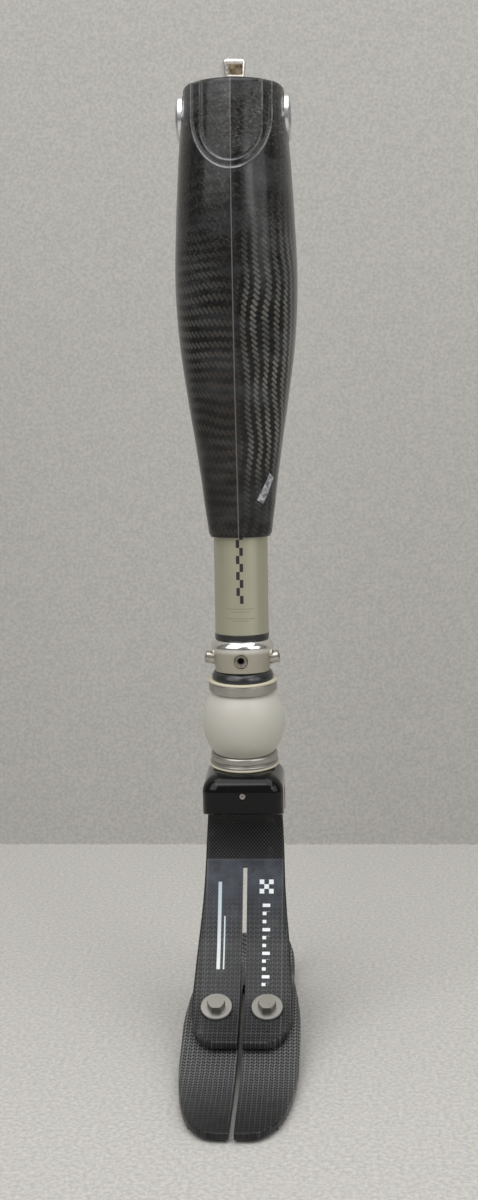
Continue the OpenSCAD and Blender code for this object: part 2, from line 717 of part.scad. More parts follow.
// Places children at each toe bolt, +Z along the bolt, 0 at the blade's middle.
module at_toe_bolts() for (x = [-1, 1])
    at_leg() translate([x * toe_bolt_gap / 2, -toe_bolt_y, toe_bolt_z])
        rotate([toe_bolt_tilt, 0, 0]) children();

module upper_blade() color([0.15, 0.14, 0.13]) difference() {
    blade(upper_stations, upper_steps);
    slot_cut(-4, 0, 103);
    at_toe_bolts() translate([0, 0, -20]) cylinder(d = toe_bolt_d + 0.2, h = 40);
    at_ankle() at_blade_bolts() translate([0, 0, -20]) cylinder(d = blade_bolt_d + 0.2, h = 40);
}

module sole_blade() color([0.15, 0.14, 0.13]) difference() {
    blade(sole_stations, sole_steps);
    slot_cut(22, -5, 60);
    at_toe_bolts() translate([0, 0, -20]) cylinder(d = toe_bolt_d + 0.2, h = 40);
    // Seats of the nuts
    at_toe_bolts() translate([0, 0, -20 - toe_grip + nut_h + 0.1]) cylinder(d = 15, h = 20);
}

// Moulded wedges that fill the angle between the two blades at the bolts
module toe_wedges() color("black") difference() {
    at_leg() for (x = [-1, 1]) translate([x > 0 ? 2.5 : -26.5, 0, 0]) rotate([90, 0, 90])
        linear_extrude(24) polygon([
            for (f = wedge_span) [-f, lookup(f, blade_edge(upper_stations, upper_steps, -1)) - wedge_gap],
            for (k = [len(wedge_span) - 1:-1:0]) let (f = wedge_span[k])
                [-f, lookup(f, blade_edge(sole_stations, sole_steps, 1)) + wedge_gap]]);
    at_toe_bolts() translate([0, 0, -20]) cylinder(d = toe_bolt_d + 0.2, h = 40);
}

module toe_bolts() color("gray") at_toe_bolts() union() {
    translate([0, 0, -toe_grip]) cylinder(d = toe_bolt_d, h = toe_grip + washer_seat + 3);
    translate([0, 0, washer_seat + washer_t]) intersection() {
        hex_prism(bolt_flats, bolt_head_h);
        cylinder(d1 = bolt_flats + 6.8, d2 = bolt_flats, h = bolt_head_h + 0.2);
    }
}

module toe_washers() color("silver") at_toe_bolts() translate([0, 0, washer_seat]) rotate_extrude()
    polygon([[toe_bolt_d / 2 + 0.1, 0], [washer_d / 2, 0], [washer_d / 2, washer_t - 0.5],
        [washer_d / 2 - 0.4, washer_t], [toe_bolt_d / 2 + 0.1, washer_t]]);

module toe_nuts() color("gray") at_toe_bolts() translate([0, 0, -toe_grip]) rotate_extrude()
    polygon([[toe_bolt_d / 2, 0], [6.7, 0], [7.2, 0.5], [7.2, nut_h], [toe_bolt_d / 2, nut_h]]);

// Side view of a rubber tread: its upper face follows the sole, its lower lies on z = 0.
module tread(span, x0, x1) at_leg() translate([x0, 0, 0]) rotate([90, 0, 90])
    linear_extrude(x1 - x0) polygon(concat(
        [for (f = span) [-f, lookup(f, blade_edge(sole_stations, sole_steps, -1)) - tread_gap]],
        [[-span[len(span) - 1] + 1, 0], [-span[0] - 1, 0]]));

module sole_pads() color("black") {
    for (x = [-25, 4]) tread(toe_tread, x, x + 21);
    tread(heel_tread, -25, 25);
}

top_pyramid();
knee_head();
knee_axles();
rod_pin();
axle_cap_left();
axle_cap_right();
bearing_left();
bearing_right();
bearing_housing_left();
bearing_housing_right();
extension_bumper();
damper_rod();
damper_piston();
damper_cylinder();
damper_gland();
valve_block();
servo_motor();
damper_lug();
trunnion_pin();
carbon_frame();
rear_cover();
cover_screw();
charge_port();
electronics_box();
battery_pack();
tube_clamp();
clamp_screw();
shank_tube();
tube_end_ring();
pyramid_receiver();
set_screws();
foot_pyramid();
dome_seal();
upper_flange();
upper_ring();
shock_shaft();
torsion_collar();
elastomer_ball();
lower_ring();
shaft_bush();
lower_gasket();
ankle_block();
block_pin();
blade_plate();
blade_bolts();
upper_blade();
sole_blade();
toe_wedges();
toe_bolts();
toe_washers();
toe_nuts();
sole_pads();
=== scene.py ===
import json
import math

import bpy
import numpy as np
from mathutils import Matrix, Vector


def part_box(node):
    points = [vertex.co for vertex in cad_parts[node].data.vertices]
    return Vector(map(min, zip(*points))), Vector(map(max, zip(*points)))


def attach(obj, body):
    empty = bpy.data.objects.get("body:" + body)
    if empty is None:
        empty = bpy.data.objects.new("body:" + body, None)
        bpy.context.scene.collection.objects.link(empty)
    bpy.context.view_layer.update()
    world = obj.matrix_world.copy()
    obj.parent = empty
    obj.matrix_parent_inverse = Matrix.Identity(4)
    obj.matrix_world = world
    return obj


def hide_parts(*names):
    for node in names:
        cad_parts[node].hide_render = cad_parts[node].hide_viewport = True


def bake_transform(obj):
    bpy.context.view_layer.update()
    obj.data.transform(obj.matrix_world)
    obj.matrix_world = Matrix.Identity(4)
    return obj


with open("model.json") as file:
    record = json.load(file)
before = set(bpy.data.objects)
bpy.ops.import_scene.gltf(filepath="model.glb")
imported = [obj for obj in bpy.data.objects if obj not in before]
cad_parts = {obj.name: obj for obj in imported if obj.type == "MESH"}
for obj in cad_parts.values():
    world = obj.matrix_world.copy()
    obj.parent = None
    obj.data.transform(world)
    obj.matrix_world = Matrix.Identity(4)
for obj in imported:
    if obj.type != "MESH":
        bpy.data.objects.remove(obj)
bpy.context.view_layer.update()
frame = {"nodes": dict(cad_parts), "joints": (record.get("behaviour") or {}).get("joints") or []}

bl_info = {
    "name": "Lower-leg prosthesis",
    "version": (1, 0, 0),
    "blender": (4, 5, 0),
    "location": "View3D > Sidebar > Prosthesis",
    "description": "Shells, blades, soft parts and finishes of a prosthetic lower leg",
    "category": "Add Mesh",
}

MM = 0.001

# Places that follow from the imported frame, in millimetres
TUBE_LOW, TUBE_HIGH = (np.array(c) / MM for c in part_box("shank_tube"))
LEG_Y = (TUBE_LOW[1] + TUBE_HIGH[1]) / 2
FRAME_LOW, FRAME_TOP = (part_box("carbon_frame")[i][2] / MM for i in (0, 1))
# Each step of the recess on the knee frame's front: half width, height of its ellipse's
# centre and depth of the ellipse below it
RECESS_STEPS = ((24.6, 567, 33.5), (19.0, 560, 22.0))
JOINTS = {j["name"]: j for j in frame["joints"]}
KNEE_Z = JOINTS["knee"]["pos_m"][2] / MM
ANKLE_Z = JOINTS["ankle_torsion"]["pos_m"][2] / MM
MODULE_TILT = math.atan2(-JOINTS["ankle_torsion"]["axis"][1], JOINTS["ankle_torsion"]["axis"][2])


# ------------------------------------------------------------------ settings

def colour_prop(name, text, default):
    return bpy.props.FloatVectorProperty(
        name=name, description=text, subtype="COLOR", size=3, min=0, max=1, default=default)


def length_prop(name, text, default):
    return bpy.props.FloatProperty(
        name=name, description=text, unit="LENGTH", min=0, default=default)


class ProsthesisSizes(bpy.types.PropertyGroup):
    """Sizes that set the surfaces' fine form."""
    laminate: length_prop("Laminate", "Wall of the knee frame", 3.2 * MM)
    crease: length_prop("Crease", "Height of the crease down the knee frame", 3.5 * MM)
    recess: length_prop("Recess", "Depth of the recess on the knee frame's front", 1.5 * MM)
    frame_tow: length_prop("Frame tow", "Width of one tow in the knee frame's twill", 2.3 * MM)
    blade_tow: length_prop("Blade tow", "Width of one tow in the blades' cloth", 1.45 * MM)
    toe_slot: length_prop("Toe slot", "Width of the slot between the toes", 3.0 * MM)
    scale_step: length_prop("Scale step", "Height of one square of the tube's scale", 5.0 * MM)


class ProsthesisColours(bpy.types.PropertyGroup):
    """Colours of the main finishes."""
    frame_dark: colour_prop("Frame dark", "Dark tows of the knee frame", (0.006, 0.006, 0.006))
    frame_light: colour_prop("Frame light", "Light tows of the knee frame", (0.18, 0.175, 0.155))
    blade_dark: colour_prop("Blade dark", "Dark tows of the blades", (0.008, 0.008, 0.009))
    blade_light: colour_prop("Blade light", "Light tows of the blades", (0.12, 0.12, 0.115))
    tube: colour_prop("Tube", "Anodised shank tube", (0.44, 0.425, 0.32))
    ball: colour_prop("Ball", "Urethane ball", (0.53, 0.52, 0.47))
    ivory: colour_prop("Ivory", "Gaskets of the ankle module", (0.62, 0.58, 0.45))
    block: colour_prop("Block", "Gloss ankle block", (0.003, 0.003, 0.0035))
    print_white: colour_prop("Print white", "White print on the foot", (0.78, 0.82, 0.84))
    print_blue: colour_prop("Print blue", "Pale blue print on the foot", (0.5, 0.62, 0.7))
    floor: colour_prop("Floor", "Floor and backdrop", (0.455, 0.443, 0.42))


def sizes():
    return bpy.context.scene.prosthesis_sizes


def colours():
    return bpy.context.scene.prosthesis_colours


# ------------------------------------------------------------------- meshes

def make_object(name, verts, faces, uv=None):
    """Mesh object from vertices in millimetres, faces and one UV pair per vertex, in metres."""
    mesh = bpy.data.meshes.new(name)
    mesh.from_pydata((np.asarray(verts) * MM).tolist(), [], [list(map(int, f)) for f in faces])
    mesh.validate()
    if uv is not None:
        layer = mesh.uv_layers.new(name="Surface")
        loops = np.zeros(len(mesh.loops), np.int32)
        mesh.loops.foreach_get("vertex_index", loops)
        layer.data.foreach_set("uv", (np.asarray(uv)[loops] * MM).astype(np.float32).ravel())
    mesh.polygons.foreach_set("use_smooth", np.ones(len(mesh.polygons), bool))
    mesh.update()
    obj = bpy.data.objects.new(name, mesh)
    bpy.context.scene.collection.objects.link(obj)
    return obj


def grid_quads(rows, cols, wrap=False):
    """Quads of a rows by cols grid of vertices; wrap joins the last column to the first."""
    r = np.arange(rows - 1)[:, None]
    c = np.arange(cols if wrap else cols - 1)[None, :]
    d = (c + 1) % cols
    quads = np.stack([r * cols + c, r * cols + d, (r + 1) * cols + d, (r + 1) * cols + c], -1)
    return quads.reshape(-1, 4)


def smooth_rows(table, places):
    """Catmull-Rom curve through the rows of a table, at places counted in rows."""
    p = np.asarray(table, float)
    t = np.clip(np.asarray(places, float), 0, len(p) - 1)
    i = np.minimum(t.astype(int), len(p) - 2)
    f = (t - i)[:, None]
    a, b, c, d = p[np.maximum(i - 1, 0)], p[i], p[i + 1], p[np.minimum(i + 2, len(p) - 1)]
    return b + f / 2 * ((c - a) + f * ((2 * a - 5 * b + 4 * c - d) + f * (3 * b - a - 3 * c + d)))


def smooth_step(low, high, x):
    """0 below low, 1 above high, and a cubic S between."""
    t = np.clip((x - low) / (high - low), 0, 1)
    return t * t * (3 - 2 * t)


def ankle_matrix():
    """The ankle module's own frame: origin on the torsion joint, Z up its leaning axis."""
    return Matrix.Translation((0, LEG_Y, ANKLE_Z)) @ Matrix.Rotation(MODULE_TILT, 4, "X")


MAX_FILLET = 0.48   # share of a side that a fillet may take


def rounded_profile(corners, steps=5):
    """Profile of (radius, height, fillet) corners, each fillet drawn as a quadratic curve."""
    pts = np.array([c[:2] for c in corners], float)
    out = []
    for k, p in enumerate(pts):
        fillet = corners[k][2]
        if fillet <= 0 or k in (0, len(corners) - 1):
            out.append(p[None])
            continue
        a, b = pts[k - 1] - p, pts[k + 1] - p
        cut_a, cut_b = (min(fillet, reach * MAX_FILLET) / reach
                        for reach in (np.linalg.norm(a), np.linalg.norm(b)))
        t = np.linspace(0, 1, steps)[:, None]
        out.append((1 - t) ** 2 * (p + a * cut_a) + 2 * t * (1 - t) * p + t ** 2 * (p + b * cut_b))
    return np.concatenate(out)


def revolve(name, profile, matrix, segments=128):
    """Surface of revolution about the matrix's Z of a (radius, height) profile, closed on itself.

    A profile point (r, h) becomes (r cos a, r sin a, h) for evenly spaced angles a.
    """
    a = np.arange(segments) * 2 * math.pi / segments
    ring = np.stack([
        profile[None, :, 0] * np.cos(a)[:, None],
        profile[None, :, 0] * np.sin(a)[:, None],
        np.broadcast_to(profile[None, :, 1], (segments, len(profile))),
    ], -1)
    n = len(profile)
    quads = grid_quads(segments + 1, n, wrap=True) % (segments * n)
    verts = ring.reshape(-1, 3)
    turn = np.array(matrix)
    verts = verts @ turn[:3, :3].T + turn[:3, 3]
    arc = np.concatenate([[0], np.cumsum(np.linalg.norm(np.diff(profile, axis=0), axis=1))])
    uv = np.stack([np.repeat(a * profile[:, 0].max(), n), np.tile(arc, segments)], -1)
    r, h = profile.T
    if np.sum(r * np.roll(h, -1) - np.roll(r, -1) * h) > 0:
        quads = quads[:, ::-1]
    return make_object(name, verts, quads, uv)


def sharpen(obj, degrees=35):
    """Keeps edges sharper than the angle crisp while the rest shades smooth."""
    with bpy.context.temp_override(object=obj, active_object=obj, selected_objects=[obj],
                                   selected_editable_objects=[obj]):
        bpy.ops.object.shade_smooth_by_angle(angle=math.radians(degrees))
    return obj


def place(obj, body, slot, *nodes):
    """Gives a piece its body and hides the CAD nodes that it stands for; its finish slot is not
    used.
    """
    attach(obj, body)
    if nodes:
        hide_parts(*nodes)
    return obj


# ---------------------------------------------------------------- materials

class Nodes:
    """Small builder of shader node trees."""

    def __init__(self, name, **fixed):
        self.material = bpy.data.materials.new(name)
        self.material.use_nodes = True
        self.tree = self.material.node_tree
        self.shader = self.tree.nodes["Principled BSDF"]
        for socket, value in fixed.items():
            self.shader.inputs[socket.replace("_", " ")].default_value = value

    def add(self, kind, inputs=(), out=0, **settings):
        node = self.tree.nodes.new("ShaderNode" + kind)
        for key, value in settings.items():
            setattr(node, key, value)
        for key, value in dict(inputs).items():
            socket = node.inputs[key]
            if isinstance(value, bpy.types.NodeSocket):
                self.tree.links.new(value, socket)
            else:
                socket.default_value = value
        return node.outputs[out]

    def math(self, operation, a, b=0.0, c=None):
        values = {0: a, 1: b}
        if c is not None:
            values[2] = c
        return self.add("Math", values, operation=operation)

    def plus(self, a, b):
        return self.math("ADD", a, b)

    def minus(self, a, b):
        return self.math("SUBTRACT", a, b)

    def times(self, *factors):
        product = factors[0]
        for factor in factors[1:]:
            product = self.math("MULTIPLY", product, factor)
        return product

    def over(self, a, b):
        return self.math("DIVIDE", a, b)

    def choose(self, factor, a, b):
        """Number mix: a where the factor is 0 and b where it is 1."""
        return self.add("Mix", {"Factor": factor, 2: a, 3: b}, data_type="FLOAT")

    def between(self, value, low, high, to_low=0.0, to_high=1.0):
        return self.add("MapRange", {"Value": value, "From Min": low, "From Max": high,
                                     "To Min": to_low, "To Max": to_high})

    def mix(self, factor, a, b):
        """Colour mix of a and b, each a socket or an RGB triple."""
        return self.add("Mix", {"Factor": factor, 6: rgba(a), 7: rgba(b)}, out=2, data_type="RGBA")

    def coords(self, kind="Object"):
        return self.add("TexCoord", out={"Object": 3, "UV": 2}[kind])

    def axes(self, vector):
        node = self.tree.nodes.new("ShaderNodeSeparateXYZ")
        self.tree.links.new(vector, node.inputs[0])
        return node.outputs[0], node.outputs[1], node.outputs[2]

    def noise(self, scale, detail=3.0, roughness=0.55, vector=None):
        return self.add("TexNoise", {"Vector": vector or self.coords(), "Scale": scale,
                                     "Detail": detail, "Roughness": roughness})

    def stretched(self, scale):
        """Coordinates scaled by three numbers, for grain that runs one way."""
        return self.add("Mapping", {"Vector": self.coords(), "Scale": scale})

    def bump(self, height, strength, distance=0.0002):
        return self.add("Bump", {"Height": height, "Strength": strength, "Distance": distance})

    def link(self, **outputs):
        for socket, value in outputs.items():
            self.tree.links.new(value, self.shader.inputs[socket.replace("_", " ")])
        return self.material


def rgba(value):
    return value if isinstance(value, bpy.types.NodeSocket) else (*tuple(value)[:3], 1.0)


MATERIALS = {}


def finish(name):
    """The named finish, made once."""
    if name not in MATERIALS:
        if name in PLAIN_METALS:
            MATERIALS[name] = plain_metal(name, *PLAIN_METALS[name])
        elif name in MOULDINGS:
            MATERIALS[name] = moulded(name, *MOULDINGS[name])
        else:
            MATERIALS[name] = FINISHES[name](name)
    return MATERIALS[name]


def band(n, value, low, high, soft):
    """1 where value lies between low and high, with soft ends."""
    rise = n.between(value, low - soft, low + soft)
    fall = n.between(value, high - soft, high + soft, 1.0, 0.0)
    return n.times(rise, fall)


def bias_twill(n, u, v, tow, side):
    """2 by 2 twill laid at 45 degrees in a surface's u and v.

    With a = (u + v) / sqrt 2 and b = (v - u) / sqrt 2 counted in tows, a cell (i, j)
    shows its first tow where (i - side j) mod 4 is 0 or 1. That gives upright
    columns where side is 1 and level rows where side is -1. Returns that mask and
    the tows' height, a half sine over each.
    """
    a = n.over(n.plus(u, v), tow * math.sqrt(2))
    b = n.over(n.minus(v, u), tow * math.sqrt(2))
    cell = n.math("SUBTRACT" if side > 0 else "ADD", n.math("FLOOR", a), n.math("FLOOR", b))
    first = n.math("LESS_THAN", n.math("FLOORED_MODULO", cell, 4.0), 1.5)
    over_a = n.math("SINE", n.times(n.math("FRACT", a), math.pi))
    over_b = n.math("SINE", n.times(n.math("FRACT", b), math.pi))
    height = n.choose(first, over_b, over_a)
    return first, height


def carbon_frame_finish(name):
    """Clear-coated carbon twill laid on the bias: speckled above, painted sheen on the dashes
    below, with a seam down the crease and painted highlights on the rims round the recess's two
    steps.
    """
    n = Nodes(name, Roughness=0.5, Coat_Weight=0.75, Coat_Roughness=0.18, Coat_IOR=1.4,
              Specular_IOR_Level=0.05)
    u, v, _ = n.axes(n.coords("UV"))
    sway = n.times(n.minus(n.noise(11.0, 1.5), 0.5), 0.03)
    ripple = n.times(n.minus(n.noise(60.0, 2.0), 0.5), 0.004)
    bent = n.plus(u, n.plus(sway, ripple))
    right = n.math("GREATER_THAN", u, 0.0)
    tow = sizes().frame_tow
    columns, high_r = bias_twill(n, bent, v, tow, 1)
    rows, high_l = bias_twill(n, u, n.plus(v, sway), tow, -1)
    mask = n.choose(right, rows, columns)
    height = n.choose(right, high_l, high_r)
    # painted sheen: the dashes are painted bright where the tows would catch the light, strongly
    # right of the crease over the middle and lower frame and faintly left of it, in patches of
    # noise
    sheen_right = n.times(band(n, v, 0.345, 0.49, 0.022), band(n, u, 0.006, 0.06, 0.004))
    sheen_left = n.times(band(n, v, 0.40, 0.475, 0.025), band(n, u, -0.06, -0.01, 0.008))
    clear = n.plus(n.times(sheen_right, 0.85), n.times(sheen_left, 0.32))
    patch = n.between(n.noise(30.0, 3.0, 0.6), 0.34, 0.66, 0.25, 1.0)
    clear = n.times(n.plus(clear, 0.13), patch)
    tone = n.times(n.times(mask, n.between(height, 0.2, 0.7)), clear)
    speckle = n.between(n.noise(460.0, 3.0, 0.75, n.stretched((1.0, 1.0, 1.5))), 0.5, 0.68)
    above = n.between(v, 0.44, 0.56, 0.12, 0.6)
    tone = n.math("MAXIMUM", tone, n.times(speckle, n.times(above, patch)))
    base = n.mix(tone, colours().frame_dark, colours().frame_light)
    # brownish tint on one set of tows just left of the crease, low on the frame
    brown_tint = n.times(band(n, u, -0.014, 0.001, 0.003), band(n, v, 0.33, 0.46, 0.03))
    base = n.mix(n.times(brown_tint, n.times(mask, 0.25)), base, (0.06, 0.04, 0.03))
    haze = n.between(n.noise(24.0, 5.0, 0.65, n.stretched((1.0, 1.0, 2.6))), 0.48, 0.78, 0.0, 0.3)
    base = n.mix(haze, base, (0.14, 0.143, 0.155))
    x, y, z = n.axes(n.coords())
    # painted highlight: the rims round the recess's two steps are painted light grey as the light
    # that their ledges catch
    highlight_rims = []
    for (wide, centre, tall), start in zip(RECESS_STEPS, (0.972, 0.955)):
        across = n.over(x, wide * MM)
        drop = n.over(n.math("MINIMUM", n.minus(z, centre * MM), 0.0), tall * MM)
        reach = n.math("SQRT", n.plus(n.times(across, across), n.times(drop, drop)))
        highlight_rims.append(band(n, reach, start, 1.0, 0.008))
    rim = n.times(n.math("MAXIMUM", *highlight_rims), n.math("LESS_THAN", y, LEG_Y * MM))
    # the painted highlight is broken up by noise and kept strongest low on the recess, where the
    # ledge faces up
    worn = n.times(rim, n.between(n.noise(90.0, 3.0), 0.35, 0.65, 0.15, 0.7))
    worn = n.times(worn, n.between(z, 0.535, 0.55, 1.0, 0.5))
    base = n.mix(worn, base, (0.44, 0.45, 0.47))
    seam = band(n, u, -0.0003, 0.0003, 0.0002)
    base = n.mix(n.times(seam, 0.6), base, (0.22, 0.2, 0.2))
    scratch = n.between(n.noise(260.0, 2.0, 0.5, n.stretched((1.0, 1.0, 0.03))), 0.66, 0.72)
    rough = n.plus(n.between(n.noise(60.0), 0.3, 0.7, 0.4, 0.6), n.times(scratch, 0.1))
    return n.link(Base_Color=base, Roughness=rough, Normal=n.bump(height, 0.2, 0.0002))


def zigzag(n, u, v, tow):
    """Upright columns of slanted dashes that lean the other way in each next column.

    Inside a column the brightness is a sine of v plus or minus the place across it,
    faded to the column's edges by a half sine.
    """
    across = n.over(u, tow)
    odd = n.math("FLOORED_MODULO", n.math("FLOOR", across), 2.0)
    place = n.math("FRACT", across)
    lean = n.times(n.math("MULTIPLY_ADD", odd, -2.0, 1.0), n.minus(place, 0.5))
    turns = n.math("MULTIPLY_ADD", lean, 0.7, n.over(v, tow * 2.1))
    dash = n.math("MULTIPLY_ADD", n.math("SINE", n.times(turns, 2 * math.pi)), 0.5, 0.5)
    fade = n.math("SINE", n.times(place, math.pi))
    weight = n.math("MULTIPLY_ADD", odd, -0.45, 1.0)
    return n.times(n.times(dash, fade), weight)


def blade_cloth(n, fine_until=0.0):
    """Colour, roughness and height of the blades' laminate, in the strip's own u and v."""
    u, v, _ = n.axes(n.coords("UV"))
    tow = sizes().blade_tow
    wave = n.times(n.minus(n.noise(120.0, 2.0), 0.5), 0.0009)
    columns = zigzag(n, n.plus(u, wave), v, tow)
    if fine_until:
        dots = n.times(n.math("SINE", n.over(u, 0.00034)),
                      n.math("SINE", n.over(v, 0.00042)))
        dots = n.times(n.math("MAXIMUM", dots, 0.0), 0.5)
        lower = n.between(v, fine_until - 0.01, fine_until + 0.02)
        columns = n.choose(lower, dots, columns)
    cloud = n.between(n.noise(32.0, 4.0, 0.6), 0.3, 0.72, 0.45, 1.0)
    tone = n.times(columns, cloud)
    base = n.mix(tone, colours().blade_dark, colours().blade_light)
    dust = n.between(n.noise(90.0, 5.0, 0.7), 0.55, 0.8, 0.0, 0.22)
    base = n.mix(dust, base, (0.16, 0.155, 0.145))
    rough = n.between(n.noise(120.0, 4.0), 0.3, 0.7, 0.34, 0.55)
    return u, v, base, rough, columns


def blade_finish(name):
    """Pressed carbon laminate of the sole, with worn satin resin."""
    n = Nodes(name, Coat_Weight=0.25, Coat_Roughness=0.3, Specular_IOR_Level=0.18)
    _, _, base, rough, columns = blade_cloth(n)
    _, y, _ = n.axes(n.coords())
    # painted light: the dashes are painted brighter towards the back of the sole; the next line
    # darkens the sole towards the toe
    lit = n.times(columns, n.between(y, -0.118, -0.06, 0.1, 0.85))
    base = n.mix(lit, base, (0.3, 0.3, 0.31))
    base = n.mix(n.between(y, -0.125, -0.07, 0.6, 0.0), base, (0.003, 0.003, 0.004))
    return n.link(Base_Color=base, Roughness=rough, Normal=n.bump(columns, 0.35, 0.0002))


# Marks on the upper blade, in metres: u across from its middle, v along from its upper end.
# A box is (lowest u, highest u, lowest v, highest v).
FINE_CLOTH_UNTIL = 0.075
FILM, FILM_RIM = (-0.0245, 0.0245, 0.049, 0.172), 0.0008
PALE_LINES = ((-0.0168, -0.0146, 0.064, 0.121), (-0.0128, -0.0119, 0.086, 0.121))
CHEQUER, CHEQUER_TILE = (0.0095, 0.0185, 0.0625, 0.0715), 0.003
LADDER = (0.0116, 0.078, 0.1352, 0.0024)   # lowest u, lowest v, highest v, short bar's length
RUNG_STEP = 0.0052


def patch(n, u, v, box, soft):
    """1 inside a box of a surface's u and v, with soft edges."""
    return n.times(band(n, v, box[2], box[3], soft), band(n, u, box[0], box[1], soft))


def printed_blade_finish(name):
    """The upper blade: fine cloth at the top, a clear film further down with a painted bluish
    reflection near its upper end, and plain printed marks.

    The marks are two parallel straight pale lines of unequal length on one toe, and
    on the other a small chequered square above a ladder of white bars.
    """
    n = Nodes(name, Coat_Weight=0.2, Coat_Roughness=0.22, Specular_IOR_Level=0.15)
    u, v, base, rough, columns = blade_cloth(n, FINE_CLOTH_UNTIL)
    film = patch(n, u, v, FILM, 0.0004)
    # painted reflection: a bluish sheen on the clear film, strongest at its upper end, painted as
    # the reflection of the ceiling
    film_reflection = n.between(n.noise(48.0, 4.0, 0.6), 0.35, 0.7, 0.1, 0.85)
    top = n.between(v, 0.05, 0.1, 0.55, 0.05)
    base = n.mix(n.times(film, n.times(top, film_reflection)), base, (0.16, 0.185, 0.24))
    left, right, upper, lower = FILM
    inner = (left + FILM_RIM, right - FILM_RIM, upper + FILM_RIM, lower - FILM_RIM)
    rim = n.minus(film, patch(n, u, v, inner, 0.0004))
    base = n.mix(n.times(rim, 0.12), base, (0.3, 0.31, 0.33))
    left, upper, lower, short = LADDER
    rung = n.math("LESS_THAN", n.math("FRACT", n.over(v, RUNG_STEP)), 0.42)
    long = n.math("LESS_THAN", n.math("FRACT", n.over(v, 3 * RUNG_STEP)), 0.34)
    right = n.plus(n.math("MULTIPLY_ADD", long, short, short), left)
    across = n.times(n.math("GREATER_THAN", u, left), n.math("LESS_THAN", u, right))
    ladder = n.times(across, rung, band(n, v, upper, lower, 0.0001))
    base = n.mix(ladder, base, colours().print_white)
    lines = n.math("MAXIMUM", *(patch(n, u, v, line, 0.0001) for line in PALE_LINES))
    pale = n.mix(n.between(v, 0.06, 0.121), colours().print_blue, colours().print_white)
    base = n.mix(n.times(lines, 0.9), base, pale)
    left, _, upper, _ = CHEQUER
    tile = n.plus(n.math("FLOOR", n.over(n.minus(u, left), CHEQUER_TILE)),
                  n.math("FLOOR", n.over(n.minus(v, upper), CHEQUER_TILE)))
    tile = n.minus(1.0, n.math("FLOORED_MODULO", tile, 2.0))
    square = patch(n, u, v, CHEQUER, 0.00005)
    base = n.mix(n.times(square, tile), base, colours().print_white)
    gloss = n.math("MULTIPLY_ADD", film, -0.08, rough)
    return n.link(Base_Color=base, Roughness=gloss, Normal=n.bump(columns, 0.3, 0.00018))


def tube_finish(name):
    """Olive anodised tube with a height scale of staggered black squares on its front."""
    n = Nodes(name, Metallic=0.55, Roughness=0.4, Coat_Weight=0.15, Coat_Roughness=0.3)
    x, y, z = n.axes(n.coords())
    step = sizes().scale_step
    low = TUBE_LOW[2] * MM + 0.020
    high, square = low + 9 * step + 0.02, 0.0022
    row = n.math("FLOOR", n.over(n.minus(z, low), step))
    odd = n.math("FLOORED_MODULO", row, 2.0)
    left = n.times(n.math("GREATER_THAN", x, -square), n.math("LESS_THAN", x, 0.0))
    right = n.times(n.math("GREATER_THAN", x, 0.0), n.math("LESS_THAN", x, square))
    ink = n.choose(odd, right, left)
    ink = n.times(ink, n.math("GREATER_THAN", z, low))
    ink = n.times(ink, n.math("LESS_THAN", z, high))
    for gap, half in ((0.0033, 0.0085), (0.0052, 0.006), (0.0094, 0.009), (0.0108, 0.0055)):
        line = band(n, z, low - gap - 0.0001, low - gap + 0.0001, 0.00008)
        line = n.times(line, n.math("LESS_THAN", n.math("ABSOLUTE", x), half))
        ink = n.math("MAXIMUM", ink, n.times(line, 0.75))
    ink = n.times(ink, n.math("LESS_THAN", y, LEG_Y * MM))
    stain = n.between(n.noise(70.0, 4.0, vector=n.stretched((1.0, 1.0, 0.25))), 0.3, 0.75, 0.0, 1.0)
    base = n.mix(n.times(stain, 0.35), colours().tube, [c * 0.72 for c in colours().tube])
    base = n.mix(n.times(ink, 0.93), base, (0.012, 0.012, 0.012))
    grain = n.noise(900.0, 2.0, vector=n.stretched((1.0, 1.0, 0.05)))
    rough = n.between(grain, 0.3, 0.7, 0.32, 0.48)
    return n.link(Base_Color=base, Roughness=rough, Normal=n.bump(grain, 0.12, 0.00004))


def turning_rings(n):
    """Grain of fine level rings, as a lathe leaves them."""
    return n.noise(2600.0, 2.0, vector=n.stretched((0.02, 0.02, 1.0)))


def turned_steel(name):
    """Turned steel: fine rings round the module's axis, softened stains and small dents."""
    n = Nodes(name, Metallic=1.0, Roughness=0.28)
    colour = (0.45, 0.437, 0.405)
    rings = turning_rings(n)
    stain = n.between(n.noise(110.0, 5.0), 0.35, 0.75)
    base = n.mix(n.times(stain, 0.5), colour, [c * 0.66 for c in colour])
    rough = n.between(n.plus(n.times(rings, 0.6), n.times(stain, 0.4)), 0.3, 0.7, 0.28, 0.4)
    return n.link(Base_Color=base, Roughness=rough, Normal=n.bump(rings, 0.015, 0.00003))


def receiver_finish(name):
    """Receiver steel: a polished shoulder, painted lighter as a highlight, over a duller cone with
    fine turning rings.
    """
    n = Nodes(name, Metallic=1.0)
    _, _, z = n.axes(n.coords())
    polished = n.between(z, (ANKLE_Z + 9) * MM, (ANKLE_Z + 11) * MM)
    rings = turning_rings(n)
    stain = n.between(n.noise(110.0, 5.0), 0.35, 0.75, 0.0, 0.4)
    # partly real, partly painted highlight: the shoulder is polished, and its colour is painted
    # much lighter than the cone's as the highlight it catches from above
    base = n.mix(polished, (0.5, 0.475, 0.4), (0.84, 0.83, 0.79))
    base = n.mix(stain, base, (0.42, 0.4, 0.34))
    rough = n.math("MULTIPLY_ADD", polished, -0.18, n.between(rings, 0.3, 0.7, 0.28, 0.4))
    return n.link(Base_Color=base, Roughness=rough, Normal=n.bump(rings, 0.015, 0.00003))


